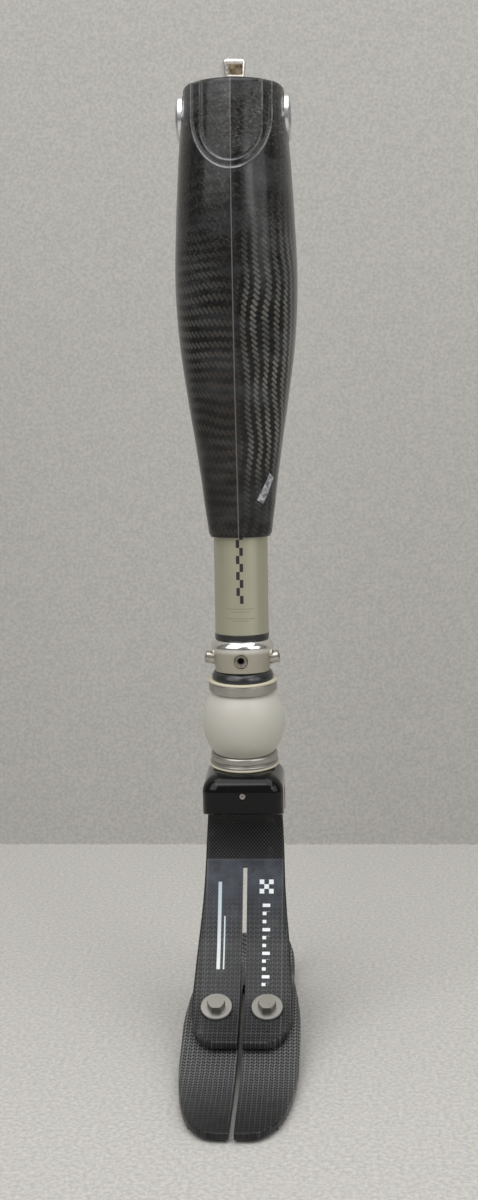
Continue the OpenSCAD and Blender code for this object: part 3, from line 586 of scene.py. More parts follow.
def plain_metal(name, colour, rough, worn, metallic):
    """Machined metal with faint stains and worn, slightly brighter patches."""
    n = Nodes(name, Metallic=metallic, Roughness=rough)
    stain = n.between(n.noise(160.0, 5.0, 0.6), 0.35, 0.75)
    fine = n.noise(1500.0, 2.0)
    base = n.mix(n.times(stain, worn), colour, [min(1, c * 0.62 + 0.01) for c in colour])
    roughness = n.between(n.plus(stain, n.times(fine, 0.4)), 0.0, 1.4,
                          rough * 0.75, min(1.0, rough * 1.45))
    return n.link(Base_Color=base, Roughness=roughness, Normal=n.bump(fine, 0.08, 0.00003))


def moulded(name, colour, rough, grain, coat):
    """Moulded plastic or rubber: fine skin and slight mottling."""
    n = Nodes(name, Roughness=rough, Coat_Weight=coat, Coat_Roughness=0.06)
    blotch = n.between(n.noise(60.0, 5.0, 0.6), 0.3, 0.75)
    skin = n.noise(1800.0, 2.0)
    base = n.mix(n.times(blotch, 0.35), colour, [c * 0.7 for c in colour])
    roughness = n.between(n.plus(blotch, n.times(skin, 0.5)), 0.0, 1.5,
                          rough * 0.8, min(1.0, rough * 1.25))
    return n.link(Base_Color=base, Roughness=roughness, Normal=n.bump(skin, grain, 0.00004))


def ball_finish(name):
    """White urethane: soft translucent body, darker towards the bottom, a few scuffs."""
    n = Nodes(name, Roughness=0.42, Subsurface_Weight=0.25, Subsurface_Scale=0.004,
              Coat_Weight=0.1, Coat_Roughness=0.35)
    _, _, z = n.axes(n.coords())
    low, high = (c[2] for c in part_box("elastomer_ball"))
    # the colour darkens by height towards the ball's bottom, broken up by noise
    lower_darkening = n.between(z, low, high, 0.65, 0.0)
    lower_darkening = n.times(lower_darkening, n.between(n.noise(45.0, 4.0), 0.3, 0.75, 0.35, 1.0))
    base = n.mix(lower_darkening, colours().ball, [c * f for c, f in zip(colours().ball, (0.8, 0.78, 0.7))])
    base = n.mix(n.between(z, high - 0.0035, high - 0.0015), base, colours().ivory)
    scuff = n.between(n.noise(240.0, 3.0, 0.5, n.stretched((0.25, 1.0, 1.2))), 0.68, 0.74)
    base = n.mix(n.times(scuff, 0.25), base, (0.75, 0.73, 0.68))
    rough = n.between(n.noise(200.0), 0.3, 0.7, 0.36, 0.5)
    return n.link(Base_Color=base, Roughness=rough, Normal=n.bump(n.noise(500.0), 0.05, 0.0001))


def block_finish(name):
    """Black gloss block: deep coat with dust specks and hairline scratches."""
    n = Nodes(name, Coat_Weight=1.0, Coat_Roughness=0.05, Coat_IOR=1.3, Specular_IOR_Level=0.05)
    speck = n.between(n.noise(900.0, 2.0, 0.4), 0.74, 0.78)
    base = n.mix(n.times(speck, 0.25), colours().block, (0.12, 0.12, 0.11))
    smear = n.between(n.noise(35.0, 5.0, 0.7), 0.35, 0.75, 0.1, 0.28)
    return n.link(Base_Color=base, Roughness=smear, Normal=n.bump(n.noise(420.0), 0.02, 0.0001))


def floor_finish(name):
    """Matt pale board with faint mottling and a few fibres, clear from behind its face."""
    n = Nodes(name, Roughness=0.9, Specular_IOR_Level=0.2)
    colour = colours().floor
    _, _, z = n.axes(n.coords())
    level = n.math("LESS_THAN", z, 0.001)
    mottle = n.between(n.noise(360.0, 3.0, 0.8), 0.38, 0.62)
    # painted light: the backdrop is painted lighter than the floor of the same board, making up for
    # the light it gets less of
    base = n.mix(level, [c * 1.08 for c in colour], [c * 1.3 for c in colour])
    base = n.mix(n.times(mottle, 0.5), base, [c * 0.66 for c in colour])
    fibre = n.between(n.noise(140.0, 2.0, 0.5, n.stretched((1.0, 1.0, 2.6))), 0.7, 0.75)
    base = n.mix(n.times(fibre, 0.25), base, [min(1, c * 1.35) for c in colour])
    n.link(Base_Color=base)
    behind = n.add("NewGeometry", out="Backfacing")
    clear = n.add("BsdfTransparent")
    shown = n.add("MixShader", {0: behind, 1: n.shader.outputs[0], 2: clear})
    n.tree.links.new(shown, n.tree.nodes["Material Output"].inputs["Surface"])
    return n.material


def pyramid_finish(name):
    """Bright pyramid with a darker brown dish in the front of its head."""
    n = Nodes(name, Metallic=1.0, Roughness=0.3)
    x, y, z = n.axes(n.coords())
    top = (KNEE_Z + 28.2) * MM
    dish = n.times(band(n, x, -0.003, 0.0056, 0.0005),
                   band(n, z, top - 0.0031, top + 0.0031, 0.0004))
    dish = n.times(dish, n.math("LESS_THAN", y, (LEG_Y - 4) * MM))
    stain = n.between(n.noise(300.0, 4.0), 0.35, 0.7)
    # the dish in the head's front is a darker brown, mottled by the stain noise
    dish_brown = n.mix(stain, (0.2, 0.15, 0.1), (0.42, 0.33, 0.22))
    base = n.mix(n.times(stain, 0.3), (0.86, 0.84, 0.8), (0.55, 0.53, 0.49))
    base = n.mix(dish, base, dish_brown)
    return n.link(Base_Color=base, Roughness=n.between(stain, 0.0, 1.0, 0.24, 0.36))


def socket_screw_finish(name):
    """Plated set screws whose hex sockets, within 2.2 mm of a screw's own axis, are near black as
    painted shade.
    """
    n = Nodes(name, Metallic=1.0, Roughness=0.25)
    x, y, z = n.axes(n.coords())
    up = n.minus(z, (ANKLE_Z + 5.5) * MM)
    aside = n.math("MINIMUM", n.math("ABSOLUTE", x),
                   n.math("ABSOLUTE", n.minus(y, LEG_Y * MM)))
    away = n.math("SQRT", n.plus(n.times(up, up), n.times(aside, aside)))
    stain = n.between(n.noise(260.0, 4.0), 0.35, 0.7)
    base = n.mix(stain, (0.58, 0.56, 0.5), (0.36, 0.34, 0.3))
    # painted shade: near black inside each hex socket
    base = n.mix(n.between(away, 0.0021, 0.0024, 1.0, 0.0), base, (0.012, 0.011, 0.01))
    return n.link(Base_Color=base, Roughness=n.between(stain, 0.0, 1.0, 0.2, 0.34))


def sticker_finish(name):
    """Blank silver foil label, creased and partly rubbed."""
    n = Nodes(name, Metallic=0.75, Roughness=0.3)
    crease = n.noise(700.0, 3.0)
    rubbed = n.between(n.noise(380.0, 3.0), 0.42, 0.56, 0.0, 0.8)
    base = n.mix(rubbed, (0.66, 0.67, 0.7), (0.14, 0.14, 0.18))
    return n.link(Base_Color=base, Normal=n.bump(crease, 0.5, 0.0002))


FINISHES = {
    "carbon frame": carbon_frame_finish,
    "carbon blade": blade_finish,
    "printed blade": printed_blade_finish,
    "paper floor": floor_finish,
    "sticker": sticker_finish,
    "pyramid steel": pyramid_finish,
    "socket screw": socket_screw_finish,
    "anodised tube": tube_finish,
    "ball urethane": ball_finish,
    "gloss block": block_finish,
    "turned steel": turned_steel,
    "receiver steel": receiver_finish,
    "ivory": lambda name: moulded(name, tuple(colours().ivory), 0.5, 0.1, 0.0),
}

# Colour, roughness, share of stain and metallic share of each plain metal
PLAIN_METALS = {
    "polished steel": ((0.7, 0.68, 0.64), 0.12, 0.35, 1.0),
    "machined alloy": ((0.62, 0.62, 0.63), 0.34, 0.3, 1.0),
    "ground steel": ((0.5, 0.5, 0.51), 0.22, 0.25, 1.0),
    "cap alloy": ((0.8, 0.81, 0.82), 0.22, 0.15, 1.0),
    "black alloy": ((0.025, 0.025, 0.028), 0.36, 0.4, 0.6),
    "blue alloy": ((0.3, 0.35, 0.45), 0.3, 0.3, 1.0),
    "bronze": ((0.5, 0.35, 0.15), 0.3, 0.35, 1.0),
    "screw steel": ((0.36, 0.35, 0.33), 0.26, 0.5, 1.0),
    "bolt steel": ((0.27, 0.26, 0.235), 0.3, 0.12, 1.0),
    "washer steel": ((0.3, 0.29, 0.27), 0.32, 0.3, 1.0),
}

# Colour, roughness, grain and coat of each moulded plastic or rubber
MOULDINGS = {
    "black rubber": ((0.012, 0.012, 0.013), 0.34, 0.1, 0.25),
    "ring rubber": ((0.014, 0.015, 0.016), 0.3, 0.08, 0.3),
    "case plastic": ((0.018, 0.018, 0.02), 0.5, 0.5, 0.0),
    "wedge plastic": ((0.014, 0.014, 0.014), 0.6, 0.3, 0.0),
}

# Finish of each CAD node that is shown as it is
NODE_FINISHES = {
    "polished steel": ["top_pyramid", "foot_pyramid", "damper_rod", "shock_shaft"],
    "machined alloy": ["knee_head", "valve_block", "damper_lug"],
    "ground steel": ["knee_axles", "rod_pin", "bearing_left", "bearing_right", "trunnion_pin"],
    "cap alloy": ["axle_cap_left", "axle_cap_right"],
    "black alloy": ["bearing_housing_left", "bearing_housing_right", "damper_cylinder",
                    "damper_gland", "tube_clamp"],
    "black rubber": ["extension_bumper", "dome_seal", "sole_pads"],
    "bronze": ["damper_piston", "shaft_bush"],
    "case plastic": ["servo_motor", "rear_cover", "charge_port", "electronics_box", "battery_pack"],
    "screw steel": ["cover_screw", "clamp_screw", "blade_bolts", "toe_nuts", "block_pin"],
    "socket screw": ["set_screws"],
    "carbon frame": ["carbon_frame"],
    "anodised tube": ["shank_tube"],
    "ring rubber": ["tube_end_ring"],
    "receiver steel": ["pyramid_receiver"],
    "ivory": ["upper_flange", "lower_gasket"],
    "turned steel": ["upper_ring", "lower_ring"],
    "blue alloy": ["torsion_collar"],
    "ball urethane": ["elastomer_ball"],
    "gloss block": ["ankle_block", "blade_plate"],
    "carbon blade": ["upper_blade", "sole_blade"],
    "wedge plastic": ["toe_wedges"],
    "bolt steel": ["toe_bolts"],
    "washer steel": ["toe_washers"],
}


def wear(obj, name):
    """Gives an object one finish over all its slots."""
    if not obj.material_slots:
        obj.data.materials.append(finish(name))
    for slot in obj.material_slots:
        slot.material = finish(name)
    return obj


# --------------------------------------------------------------- knee frame

# [height, half width, front depth, rear depth, half of the rear opening]
FRAME_STATIONS = [
    [315, 19.8, 21.5, 21.5, 9.5], [335, 22.3, 24.6, 24.0, 9.5], [362, 25.7, 29.8, 28.5, 17.0],
    [400, 31.3, 36.6, 34.0, 21.0], [437, 36.0, 42.0, 38.0, 23.5], [472, 37.7, 45.0, 38.5, 24.5],
    [510, 36.4, 46.3, 35.0, 27.0], [545, 34.3, 45.0, 29.0, 28.5], [570, 32.3, 42.0, 24.0, 28.0],
    [587.5, 30.8, 38.0, 15.0, 26.5],
]
FRONT_POWER, REAR_POWER = 2.3, 3.2


def frame_rows(z):
    """Frame stations at heights z: half width, front depth, rear depth, half opening."""
    table = np.array(FRAME_STATIONS)
    places = np.interp(z, table[:, 0], np.arange(len(table)))
    return smooth_rows(table, places)[:, 1:]


def edge_turn(distance, radius):
    """How far a rounded edge has turned in, a distance from the end face."""
    d = np.clip(distance, 0, radius)
    return radius - np.sqrt(radius ** 2 - (radius - d) ** 2)


def frame_section(rows, inset, share):
    """Points of the frame's sections. share runs from -1 at one rear edge to 1 at the other.

    The section is a superellipse: x = w sin(a)^(2/m), y = depth cos(a)^(2/m), with
    a rounder power m in front than behind, and a crease that lifts as q (1 - q),
    where q is x over the half width.
    """
    w = rows[:, 0] - inset
    end = math.pi - np.arcsin(np.clip(rows[:, 3] / w, 0, 1) ** (REAR_POWER / 2))
    a = share[None, :] * end[:, None]
    front = np.abs(a) <= math.pi / 2
    power = np.where(front, FRONT_POWER, REAR_POWER)
    depth = np.where(front, -(rows[:, 1] - inset)[:, None], (rows[:, 2] - inset)[:, None])
    x = w[:, None] * np.sign(np.sin(a)) * np.abs(np.sin(a)) ** (2 / power)
    q = np.abs(x) / w[:, None]
    crease = np.where(front, sizes().crease / MM * q * (1 - q), 0)
    return x, depth * np.abs(np.cos(a)) ** (2 / power) + crease


def recess_depth(x, z):
    """Two shallow steps, each inside a U whose lower end is half an ellipse."""
    depth = 0
    for (wide, centre, tall), share, start in zip(RECESS_STEPS, (1, 0.35), (0.95, 0.93)):
        reach = np.where(z > centre, np.abs(x) / wide, np.hypot(x / wide, (z - centre) / tall))
        depth = depth + share * (sizes().recess / MM) * (1 - smooth_step(start, 1.0, reach))
    return depth


def run_along(x, y):
    """Length along each row of points, from the row's first point."""
    return np.cumsum(np.hypot(np.diff(x, axis=1, prepend=x[:, :1]),
                              np.diff(y, axis=1, prepend=y[:, :1])), 1)


def build_frame_shell():
    """Knee frame: a lofted shell that is open at the rear, with its recess pushed in.

    The inner face follows the outer one at the laminate's thickness, which thins
    towards the lower end, and both ends' outer edges are rounded.
    """
    low, top, laminate = FRAME_LOW, FRAME_TOP, sizes().laminate / MM
    z = np.concatenate([low + np.array([0, 0.3, 0.8, 1.5]), np.linspace(low + 2.5, 526, 50),
                        np.linspace(526.6, top - 2.6, 100),
                        top - np.array([2.0, 1.4, 0.9, 0.5, 0.2, 0])])
    share = np.linspace(-1, 1, 241)
    share = share - 0.05 * np.sin(2 * math.pi * share)
    rows = frame_rows(z)
    wall = np.minimum(laminate, 1.6 + (z - low) * 0.055)
    turn = 0.06 + np.minimum(edge_turn(np.minimum(z - low, top - z), 2.5), wall - 0.8)
    xo, yo = frame_section(rows, turn, share)
    xi, yi = frame_section(rows, wall, share)
    sunk = recess_depth(xo, z[:, None]) * (yo < 0)
    nx, ny = xo / (rows[:, 0][:, None] ** 2), yo / (rows[:, 1][:, None] ** 2)
    size = np.hypot(nx, ny)
    xo, yo = xo - sunk * nx / size, yo - sunk * ny / size
    x = np.concatenate([xo, xi[:, ::-1]], 1)
    y = np.concatenate([yo, yi[:, ::-1]], 1) + LEG_Y
    m = x.shape[1]
    verts = np.stack([x, y, np.broadcast_to(z[:, None], x.shape)], -1)
    arc = run_along(x, y)
    middle = arc[:, len(share) // 2][:, None]
    uv = np.stack([arc - middle, verts[..., 2]], -1)
    quads = grid_quads(len(z), m, wrap=True)
    c = np.arange(len(share) - 1)
    lid = np.stack([c, m - 1 - c, m - 2 - c, c + 1], -1)
    faces = np.concatenate([quads, lid, lid[:, ::-1] + (len(z) - 1) * m])
    shell = make_object("frame_shell", verts.reshape(-1, 3), faces, uv.reshape(-1, 2))
    return place(wear(shell, "carbon frame"), "knee_frame", "carbon_gloss", "carbon_frame")


# ------------------------------------------------------------------- blades

# [forward of the leg axis, height of the middle, width, thickness]
UPPER_STATIONS = [
    [-4.7, 152.7, 46, 8.9], [-5.55, 143, 47, 8.9], [-6.15, 135, 48, 8.9], [-5.1, 125.5, 49.1, 8.8],
    [-1.7, 114, 50.1, 8.5], [3.6, 102, 50.9, 8.1], [10, 90.5, 51.9, 7.8], [18.5, 76, 54, 7.4],
    [29.5, 59, 57.5, 7.2], [41.5, 45, 60, 7], [54, 33.2, 61.8, 6.8], [67, 25.4, 61.6, 6.6],
    [79, 21.4, 56.5, 6.2], [88, 19.5, 47, 5.6], [93, 18.8, 34, 5],
]
SOLE_STATIONS = [
    [-84, 26.5, 40, 4.2], [-82, 21.4, 51, 4.4], [-77.6, 13.4, 57, 4.6], [-70, 6.9, 58.5, 5],
    [-57, 4.1, 58.5, 5.2], [-40, 8.2, 57, 5.6], [-18, 19, 57, 5.8], [8, 26, 61, 6],
    [35, 25.2, 67, 6.2], [60, 19.4, 71.5, 6.4], [82, 12.4, 71.5, 6.4], [104, 7.0, 70.4, 6.4],
    [128, 4.6, 66, 6.2], [150, 4.3, 58.5, 5.6], [164, 4.2, 49.5, 5], [173, 4.2, 38, 4.6],
    [176.8, 4.2, 28, 4.2], [178, 4.2, 18, 3.8],
]


FACE_COLUMNS, EDGE_COLUMNS = 48, 8   # of a blade's ring, per face and per edge
UNDERSIDE_V = 1000                   # shift of the underside's v
HIGHEST_SLOT = 103                   # height below which a slot may start


def build_blade(name, stations, rows, slot_from):
    """Strip swept along its stations, with round edges and a slot cut to its front end.

    Each ring runs over the top face, round the right edge, back under and round
    the left edge. Two of its columns are the slot's sides; beyond the slot's
    start the faces between them are left out and walls join top to bottom. The
    underside's v is a metre further on, so that prints stay on the top face.
    """
    mid = smooth_rows(stations, np.linspace(0, len(stations) - 1, rows))
    step = np.gradient(mid[:, :2], axis=0)
    normal = np.stack([-step[:, 1], step[:, 0]], -1) / np.hypot(step[:, 0], step[:, 1])[:, None]
    half, h = mid[:, 2] / 2, mid[:, 3] / 2
    length = np.concatenate([[0], np.cumsum(np.hypot(*np.diff(mid[:, :2], axis=0).T))])
    end = np.minimum(length, length[-1] - length)
    h = h - np.minimum(edge_turn(end, 0.9), h * 0.5)
    face, edge = FACE_COLUMNS, EDGE_COLUMNS
    s = sizes().toe_slot / MM / 2
    round_r = np.minimum(1.5, h * 0.8)
    flat = half - round_r
    left = np.linspace(-1, 0, face // 2)[:, None] * (flat - s)[None] - s
    right = np.linspace(0, 1, face // 2)[:, None] * (flat - s)[None] + s
    across = np.concatenate([left, right]).T
    a = np.linspace(math.pi / 2, -math.pi / 2, edge + 2)[1:-1]
    arc_x = flat[:, None] + round_r[:, None] * np.cos(a)[None]
    arc_h = (h - round_r)[:, None] * np.sign(np.sin(a))[None] + round_r[:, None] * np.sin(a)[None]
    q = np.concatenate([across, arc_x, across[:, ::-1], -arc_x], 1)
    wide_h = np.repeat(h[:, None], face, 1)
    level = np.concatenate([wide_h, arc_h, -wide_h, arc_h[:, ::-1]], 1)
    forward = mid[:, :1] + level * normal[:, :1]
    height = mid[:, 1:2] + level * normal[:, 1:2]
    verts = np.stack([q, LEG_Y - forward, height], -1)
    m = q.shape[1]
    quads = grid_quads(rows, m, wrap=True)
    row, col = quads[:, 0] // m, quads[:, 0] % m
    under, under_end = face + edge, face + edge + face
    t0, t1 = face // 2 - 1, face // 2
    b1, b0 = under + t0, under + t1
    first = int(np.argmax((mid[:, 0] > slot_from) & (mid[:, 1] < HIGHEST_SLOT)))
    keep = ~((row >= first) & np.isin(col, (t0, b1)))
    r = np.arange(first, rows - 1)
    wall_l = np.stack([r * m + t0, (r + 1) * m + t0, (r + 1) * m + b0, r * m + b0], -1)
    wall_r = np.stack([r * m + t1, r * m + b1, (r + 1) * m + b1, (r + 1) * m + t1], -1)
    wall_end = np.array([[first * m + t0, first * m + b0, first * m + b1, first * m + t1]])
    c = np.arange(face - 1)
    top, bottom = c, under_end - 1 - c
    lid = np.stack([top, bottom, bottom - 1, top + 1], -1)
    side = np.arange(edge // 2)
    cap_r = np.stack([face - 1 + side, under - side, under - 1 - side, face + side], -1)
    cap_l = np.stack([under_end - 1 + side, (under_end + edge - side) % m,
                      under_end + edge - 1 - side, under_end + side], -1)
    caps = np.concatenate([lid, cap_r, cap_l])
    far = caps[:, ::-1] + (rows - 1) * m
    far = far[~np.all(np.isin(far - (rows - 1) * m, (t0, t1, b0, b1)), axis=1)]
    faces = np.concatenate([quads[keep], wall_l, wall_r, wall_end, caps, far])[:, ::-1]
    below = np.zeros(m)
    below[under:under_end] = UNDERSIDE_V
    uv = np.stack([q, length[:, None] + below], -1)
    blade = make_object(name, verts.reshape(-1, 3), faces, uv.reshape(-1, 2))
    return sharpen(blade, 50)


# ------------------------------------------------------------- ankle module

def rounded_rectangle(x0, x1, y0, y1, r_front, r_back, steps=10, runs=40):
    """Closed outline of a rectangle with quarter-circle corners, mirrored about its middle.

    It runs from beside the front's middle round to the back, and back on the other
    side, so point c faces point m - 1 - c of its m points.
    """
    a = np.linspace(0, math.pi / 2, steps)
    arc = np.stack([np.cos(a), np.sin(a)], -1)
    half = np.linspace((x0 + x1) / 2, x1 - r_front, runs)[:-1]
    front = np.stack([half, np.full(runs - 1, y0)], -1)
    right = np.array([x1 - r_front, y0 + r_front]) + r_front * np.stack([np.sin(a), -np.cos(a)], -1)
    side = np.stack([np.full(6, x1), np.linspace(y0 + r_front, y1 - r_back, 8)[1:-1]], -1)
    rear = np.array([x1 - r_back, y1 - r_back]) + r_back * arc
    back = np.stack([np.linspace(x1 - r_back, (x0 + x1) / 2, 8)[1:], np.full(7, y1)], -1)
    one = np.concatenate([front, right, side, rear, back])[1:-1]
    return np.concatenate([one, one[::-1] * [-1, 1] + [x0 + x1, 0]])


def loft(name, verts, matrix):
    """Closed surface over rings of mirrored outlines, with a lid at each end."""
    n, m = verts.shape[:2]
    turn = np.array(matrix)
    flat = verts.reshape(-1, 3) @ turn[:3, :3].T + turn[:3, 3]
    c = np.arange(m // 2 - 1)
    lid = np.stack([c, c + 1, m - 2 - c, m - 1 - c], -1)
    faces = np.concatenate([grid_quads(n, m, wrap=True), lid[:, ::-1], lid + (n - 1) * m])
    return sharpen(make_object(name, flat, faces), 40)


def build_block():
    """Ankle block: rings of a rounded rectangle that draw in over a domed shoulder.

    At a height h above the shoulder's start, the outline has drawn in by
    r - sqrt(r r - h h). Below the step the rear wall stands in front of the blade,
    and heights shrink towards the step by up to half at the front, so the
    underside rises forwards. The pin's hole is pushed into the front face.
    """
    half, front, back, seat, pin_h = 25.7, -33.0, 17.0, -6.9, -77
    low, step, top, r = -97.0, -79.4, -65.0, 11.0
    lower = np.concatenate([low + np.array([0, 0.25, 0.7, 1.2]), np.linspace(low + 1.6, step, 44)])
    a = np.linspace(0, math.pi / 2 * 0.93, 22)
    upper = np.concatenate([np.linspace(step + 0.06, top - r, 8), top - r + r * np.sin(a)[1:],
                            [top]])
    draw = np.concatenate([np.maximum(0, 1.2 - (lower - low)) ** 2 / 2.4, np.zeros(8),
                           r * (1 - np.cos(a))[1:], [r]])
    heights = np.concatenate([lower, upper])
    rings = []
    for k, (h, inset) in enumerate(zip(heights, draw)):
        rear = seat if k < len(lower) else back - inset
        corner = 9 - inset * 0.45
        ring = rounded_rectangle(-half + inset, half - inset, front + inset, rear, corner,
                                 1.5 if k < len(lower) else corner)
        rings.append(np.column_stack([ring, np.full(len(ring), h)]))
    verts = np.array(rings)
    reach = np.clip((seat - verts[..., 1]) / (seat - front), 0, 1)
    under = np.minimum(verts[..., 2] - step, 0)
    verts[..., 2] -= 0.5 * reach * under
    away = np.hypot(verts[..., 0], verts[..., 2] - pin_h)
    face = verts[..., 1] < front + 1
    verts[..., 1] += np.where(face, 1.9 * (1 - smooth_step(2.2, 2.6, away)), 0)
    block = loft("block_shell", verts, ankle_matrix())
    place(wear(block, "gloss block"), "foot", "black_gloss", "ankle_block")
    seat_of_pin = Matrix.Translation((0, front + 1.7, pin_h)) @ Matrix.Rotation(math.pi / 2, 4, "X")
    corners = [(0.3, -0.4, 0), (2.15, -0.4, 0), (2.15, 0.5, 0.35), (0.6, 0.6, 0.2), (0.3, 0.3, 0)]
    pin = revolve("pin_face", rounded_profile(corners), ankle_matrix() @ seat_of_pin, 48)
    place(wear(sharpen(pin), "screw steel"), "foot", "screw_steel", "block_pin")


def build_pyramid():
    """Alignment pyramid: a domed foot that narrows to a neck, then a dovetail head.

    Rings go from a circle to a rounded square whose half width grows evenly with
    height. A dish with a soft rim is pushed into the head's front, and the foot is
    cut flat behind, where the damper's rod passes in deep flexion.
    """
    tilt = np.radians(np.arange(0, 57, 7))
    dome = 1 + 3.35 * np.sin(tilt) / math.sin(math.radians(56))
    foot = [(13.45, 13.4, 0.0)] + [(13.45 * c, 13.4 * c, h) for c, h in zip(np.cos(tilt), dome)]
    rise = np.linspace(0, 1, 34)
    head = [(6.2 + 0.9 * t, 2.0, 4.5 + 9.8 * t) for t in rise]
    brow = [(7.1 - 2.3 * (1 - math.cos(a)), 2.0, 14.3 + 2.3 * math.sin(a))
            for a in np.linspace(0.2, 1.5, 9)]
    rings = []
    for half, corner, h in foot + head + brow:
        ring = rounded_rectangle(-half, half, -half, half, min(corner, half - 0.1),
                                 min(corner, half - 0.1), 10, 24)
        ring[:, 1] = np.minimum(ring[:, 1], 5.2 + h / 0.7)
        rings.append(np.column_stack([ring, np.full(len(ring), h)]))
    verts = np.array(rings)
    x, y, h = verts[..., 0], verts[..., 1], verts[..., 2]
    inside = (1 - smooth_step(3.9, 4.7, np.abs(x))) * (1 - smooth_step(3.0, 3.8, np.abs(h - 10.2)))
    verts[..., 1] = y + np.where((y < -5) & (np.abs(x) < 5), 1.4 * inside, 0)
    at = Matrix.Translation((0, LEG_Y, KNEE_Z + 18)) @ Matrix.Rotation(math.radians(11), 4, "Z")
    pyramid = loft("pyramid_head", verts, at)
    return place(wear(pyramid, "pyramid steel"), "knee_head", "polished_steel", "top_pyramid")


def build_receiver():
    """Receiver: a turned cup with a domed shoulder, dished round each set screw.

    Round a screw's axis the outer face is pushed in by 1.6 mm within the hole's
    radius, and by 4.5 mm more inside the screw itself, to clear its socket.
    """
    profile = rounded_profile([
        (14.2, -3, 0), (17.2, -3, 0.5), (18.1, 3.2, 0), (19.2, 9.6, 2.5), (20.15, 11.8, 1.6),
        (19.9, 14.4, 2.2), (18.2, 16.6, 2.2), (16.6, 17.6, 0.5), (15, 17.6, 0.2), (15, 41, 0.8),
        (14, 42, 0.3), (9, 42, 0.3), (9, 13, 0.3), (12, 13, 0.3), (13.4, 6, 0.3)], 7)
    dense = [profile[0]]
    for p, q in zip(profile[:-1], profile[1:]):
        parts = max(1, int(np.hypot(*(q - p)) / 0.5)) if p[1] < 17 and p[0] > 16 else 1
        dense += [p + (q - p) * k / parts for k in range(1, parts + 1)]
    matrix = Matrix.Translation((0, LEG_Y, ANKLE_Z))
    cup = revolve("receiver_cup", np.array(dense), matrix, 360)
    count = len(cup.data.vertices)
    co = np.zeros(count * 3, np.float32)
    cup.data.vertices.foreach_get("co", co)
    co = co.reshape(-1, 3) / MM
    local = co - [0, LEG_Y, ANKLE_Z]
    outer = (np.hypot(local[:, 0], local[:, 1]) > 16.2) & (local[:, 2] < 14)
    screw_out, screw_up, lean = 18.2, 5.2, math.radians(80)
    for a in np.arange(4) * math.pi / 2:
        out = np.array([math.sin(a), -math.cos(a), 0])
        axis = out * math.sin(lean) + [0, 0, math.cos(lean)]
        rel = local - out * screw_out - [0, 0, screw_up]
        along = rel @ axis
        away = np.linalg.norm(rel - along[:, None] * axis, axis=1)
        dish = 1.6 * (1 - smooth_step(3.7, 4.4, away)) + 4.5 * (1 - smooth_step(2.9, 3.5, away))
        co -= np.where(outer & (along > -3), dish, 0)[:, None] * axis
    cup.data.vertices.foreach_set("co", (co * MM).astype(np.float32).ravel())
    cup.data.update()
    return place(wear(sharpen(cup, 35), "receiver steel"), "shank", "receiver_steel",
                 "pyramid_receiver")


TURNED_PIECES = [
    # name, node, body, slot, finish, profile of (radius, height, fillet)
    ("seal_lip", "dome_seal", "shank", "black_rubber", "ring rubber",
     [(13.1, -7.9, 0.2), (19.5, -7.9, 0.5), (19.7, -5.6, 2.0), (18.0, -2.6, 2.2),
      (15.6, -1.7, 1.0), (13.2, -3.2, 0.4)]),
    ("top_flange", "upper_flange", "shank", "ivory_plastic", "ivory",
     [(7.1, -9.15, 0), (22.0, -9.15, 0.3), (22.25, -8.3, 0.4), (21.9, -7.75, 0.4),
      (21.1, -8.05, 0.2), (20.6, -7.8, 0.2), (7.1, -7.9, 0)]),
    ("top_ring", "upper_ring", "shank", "ring_steel", "turned steel",
     [(7.1, -15.9, 0), (20.8, -15.95, 0.8), (21.75, -14.9, 0.6), (21.75, -9.5, 0.4),
      (21.3, -9.25, 0.2), (7.1, -9.25, 0)]),
    ("bottom_ring", "lower_ring", "foot", "ring_steel", "turned steel",
     [(14.1, -63.1, 0), (21.95, -63.15, 0.3), (21.95, -61.9, 0.5), (20.7, -61.4, 0.2),
      (20.7, -60.9, 0.2), (21.4, -60.3, 0.4), (21.4, -57.0, 0.7), (20.6, -56.1, 0.5),
      (14.1, -56.1, 0)]),
    ("bottom_gasket", "lower_gasket", "foot", "ivory_plastic", "ivory",
     [(14.1, -64.9, 0), (21.9, -64.9, 0.4), (22.25, -64.1, 0.6), (21.9, -63.25, 0.4),
      (14.1, -63.25, 0)]),
]


def build_turned_pieces():
    """Each ring of the ankle module, turned about the module's axis."""
    for name, node, body, slot, look, corners in TURNED_PIECES:
        ring = revolve(name, rounded_profile(corners, 6), ankle_matrix(), 144)
        place(wear(sharpen(ring, 35), look), body, slot, node)


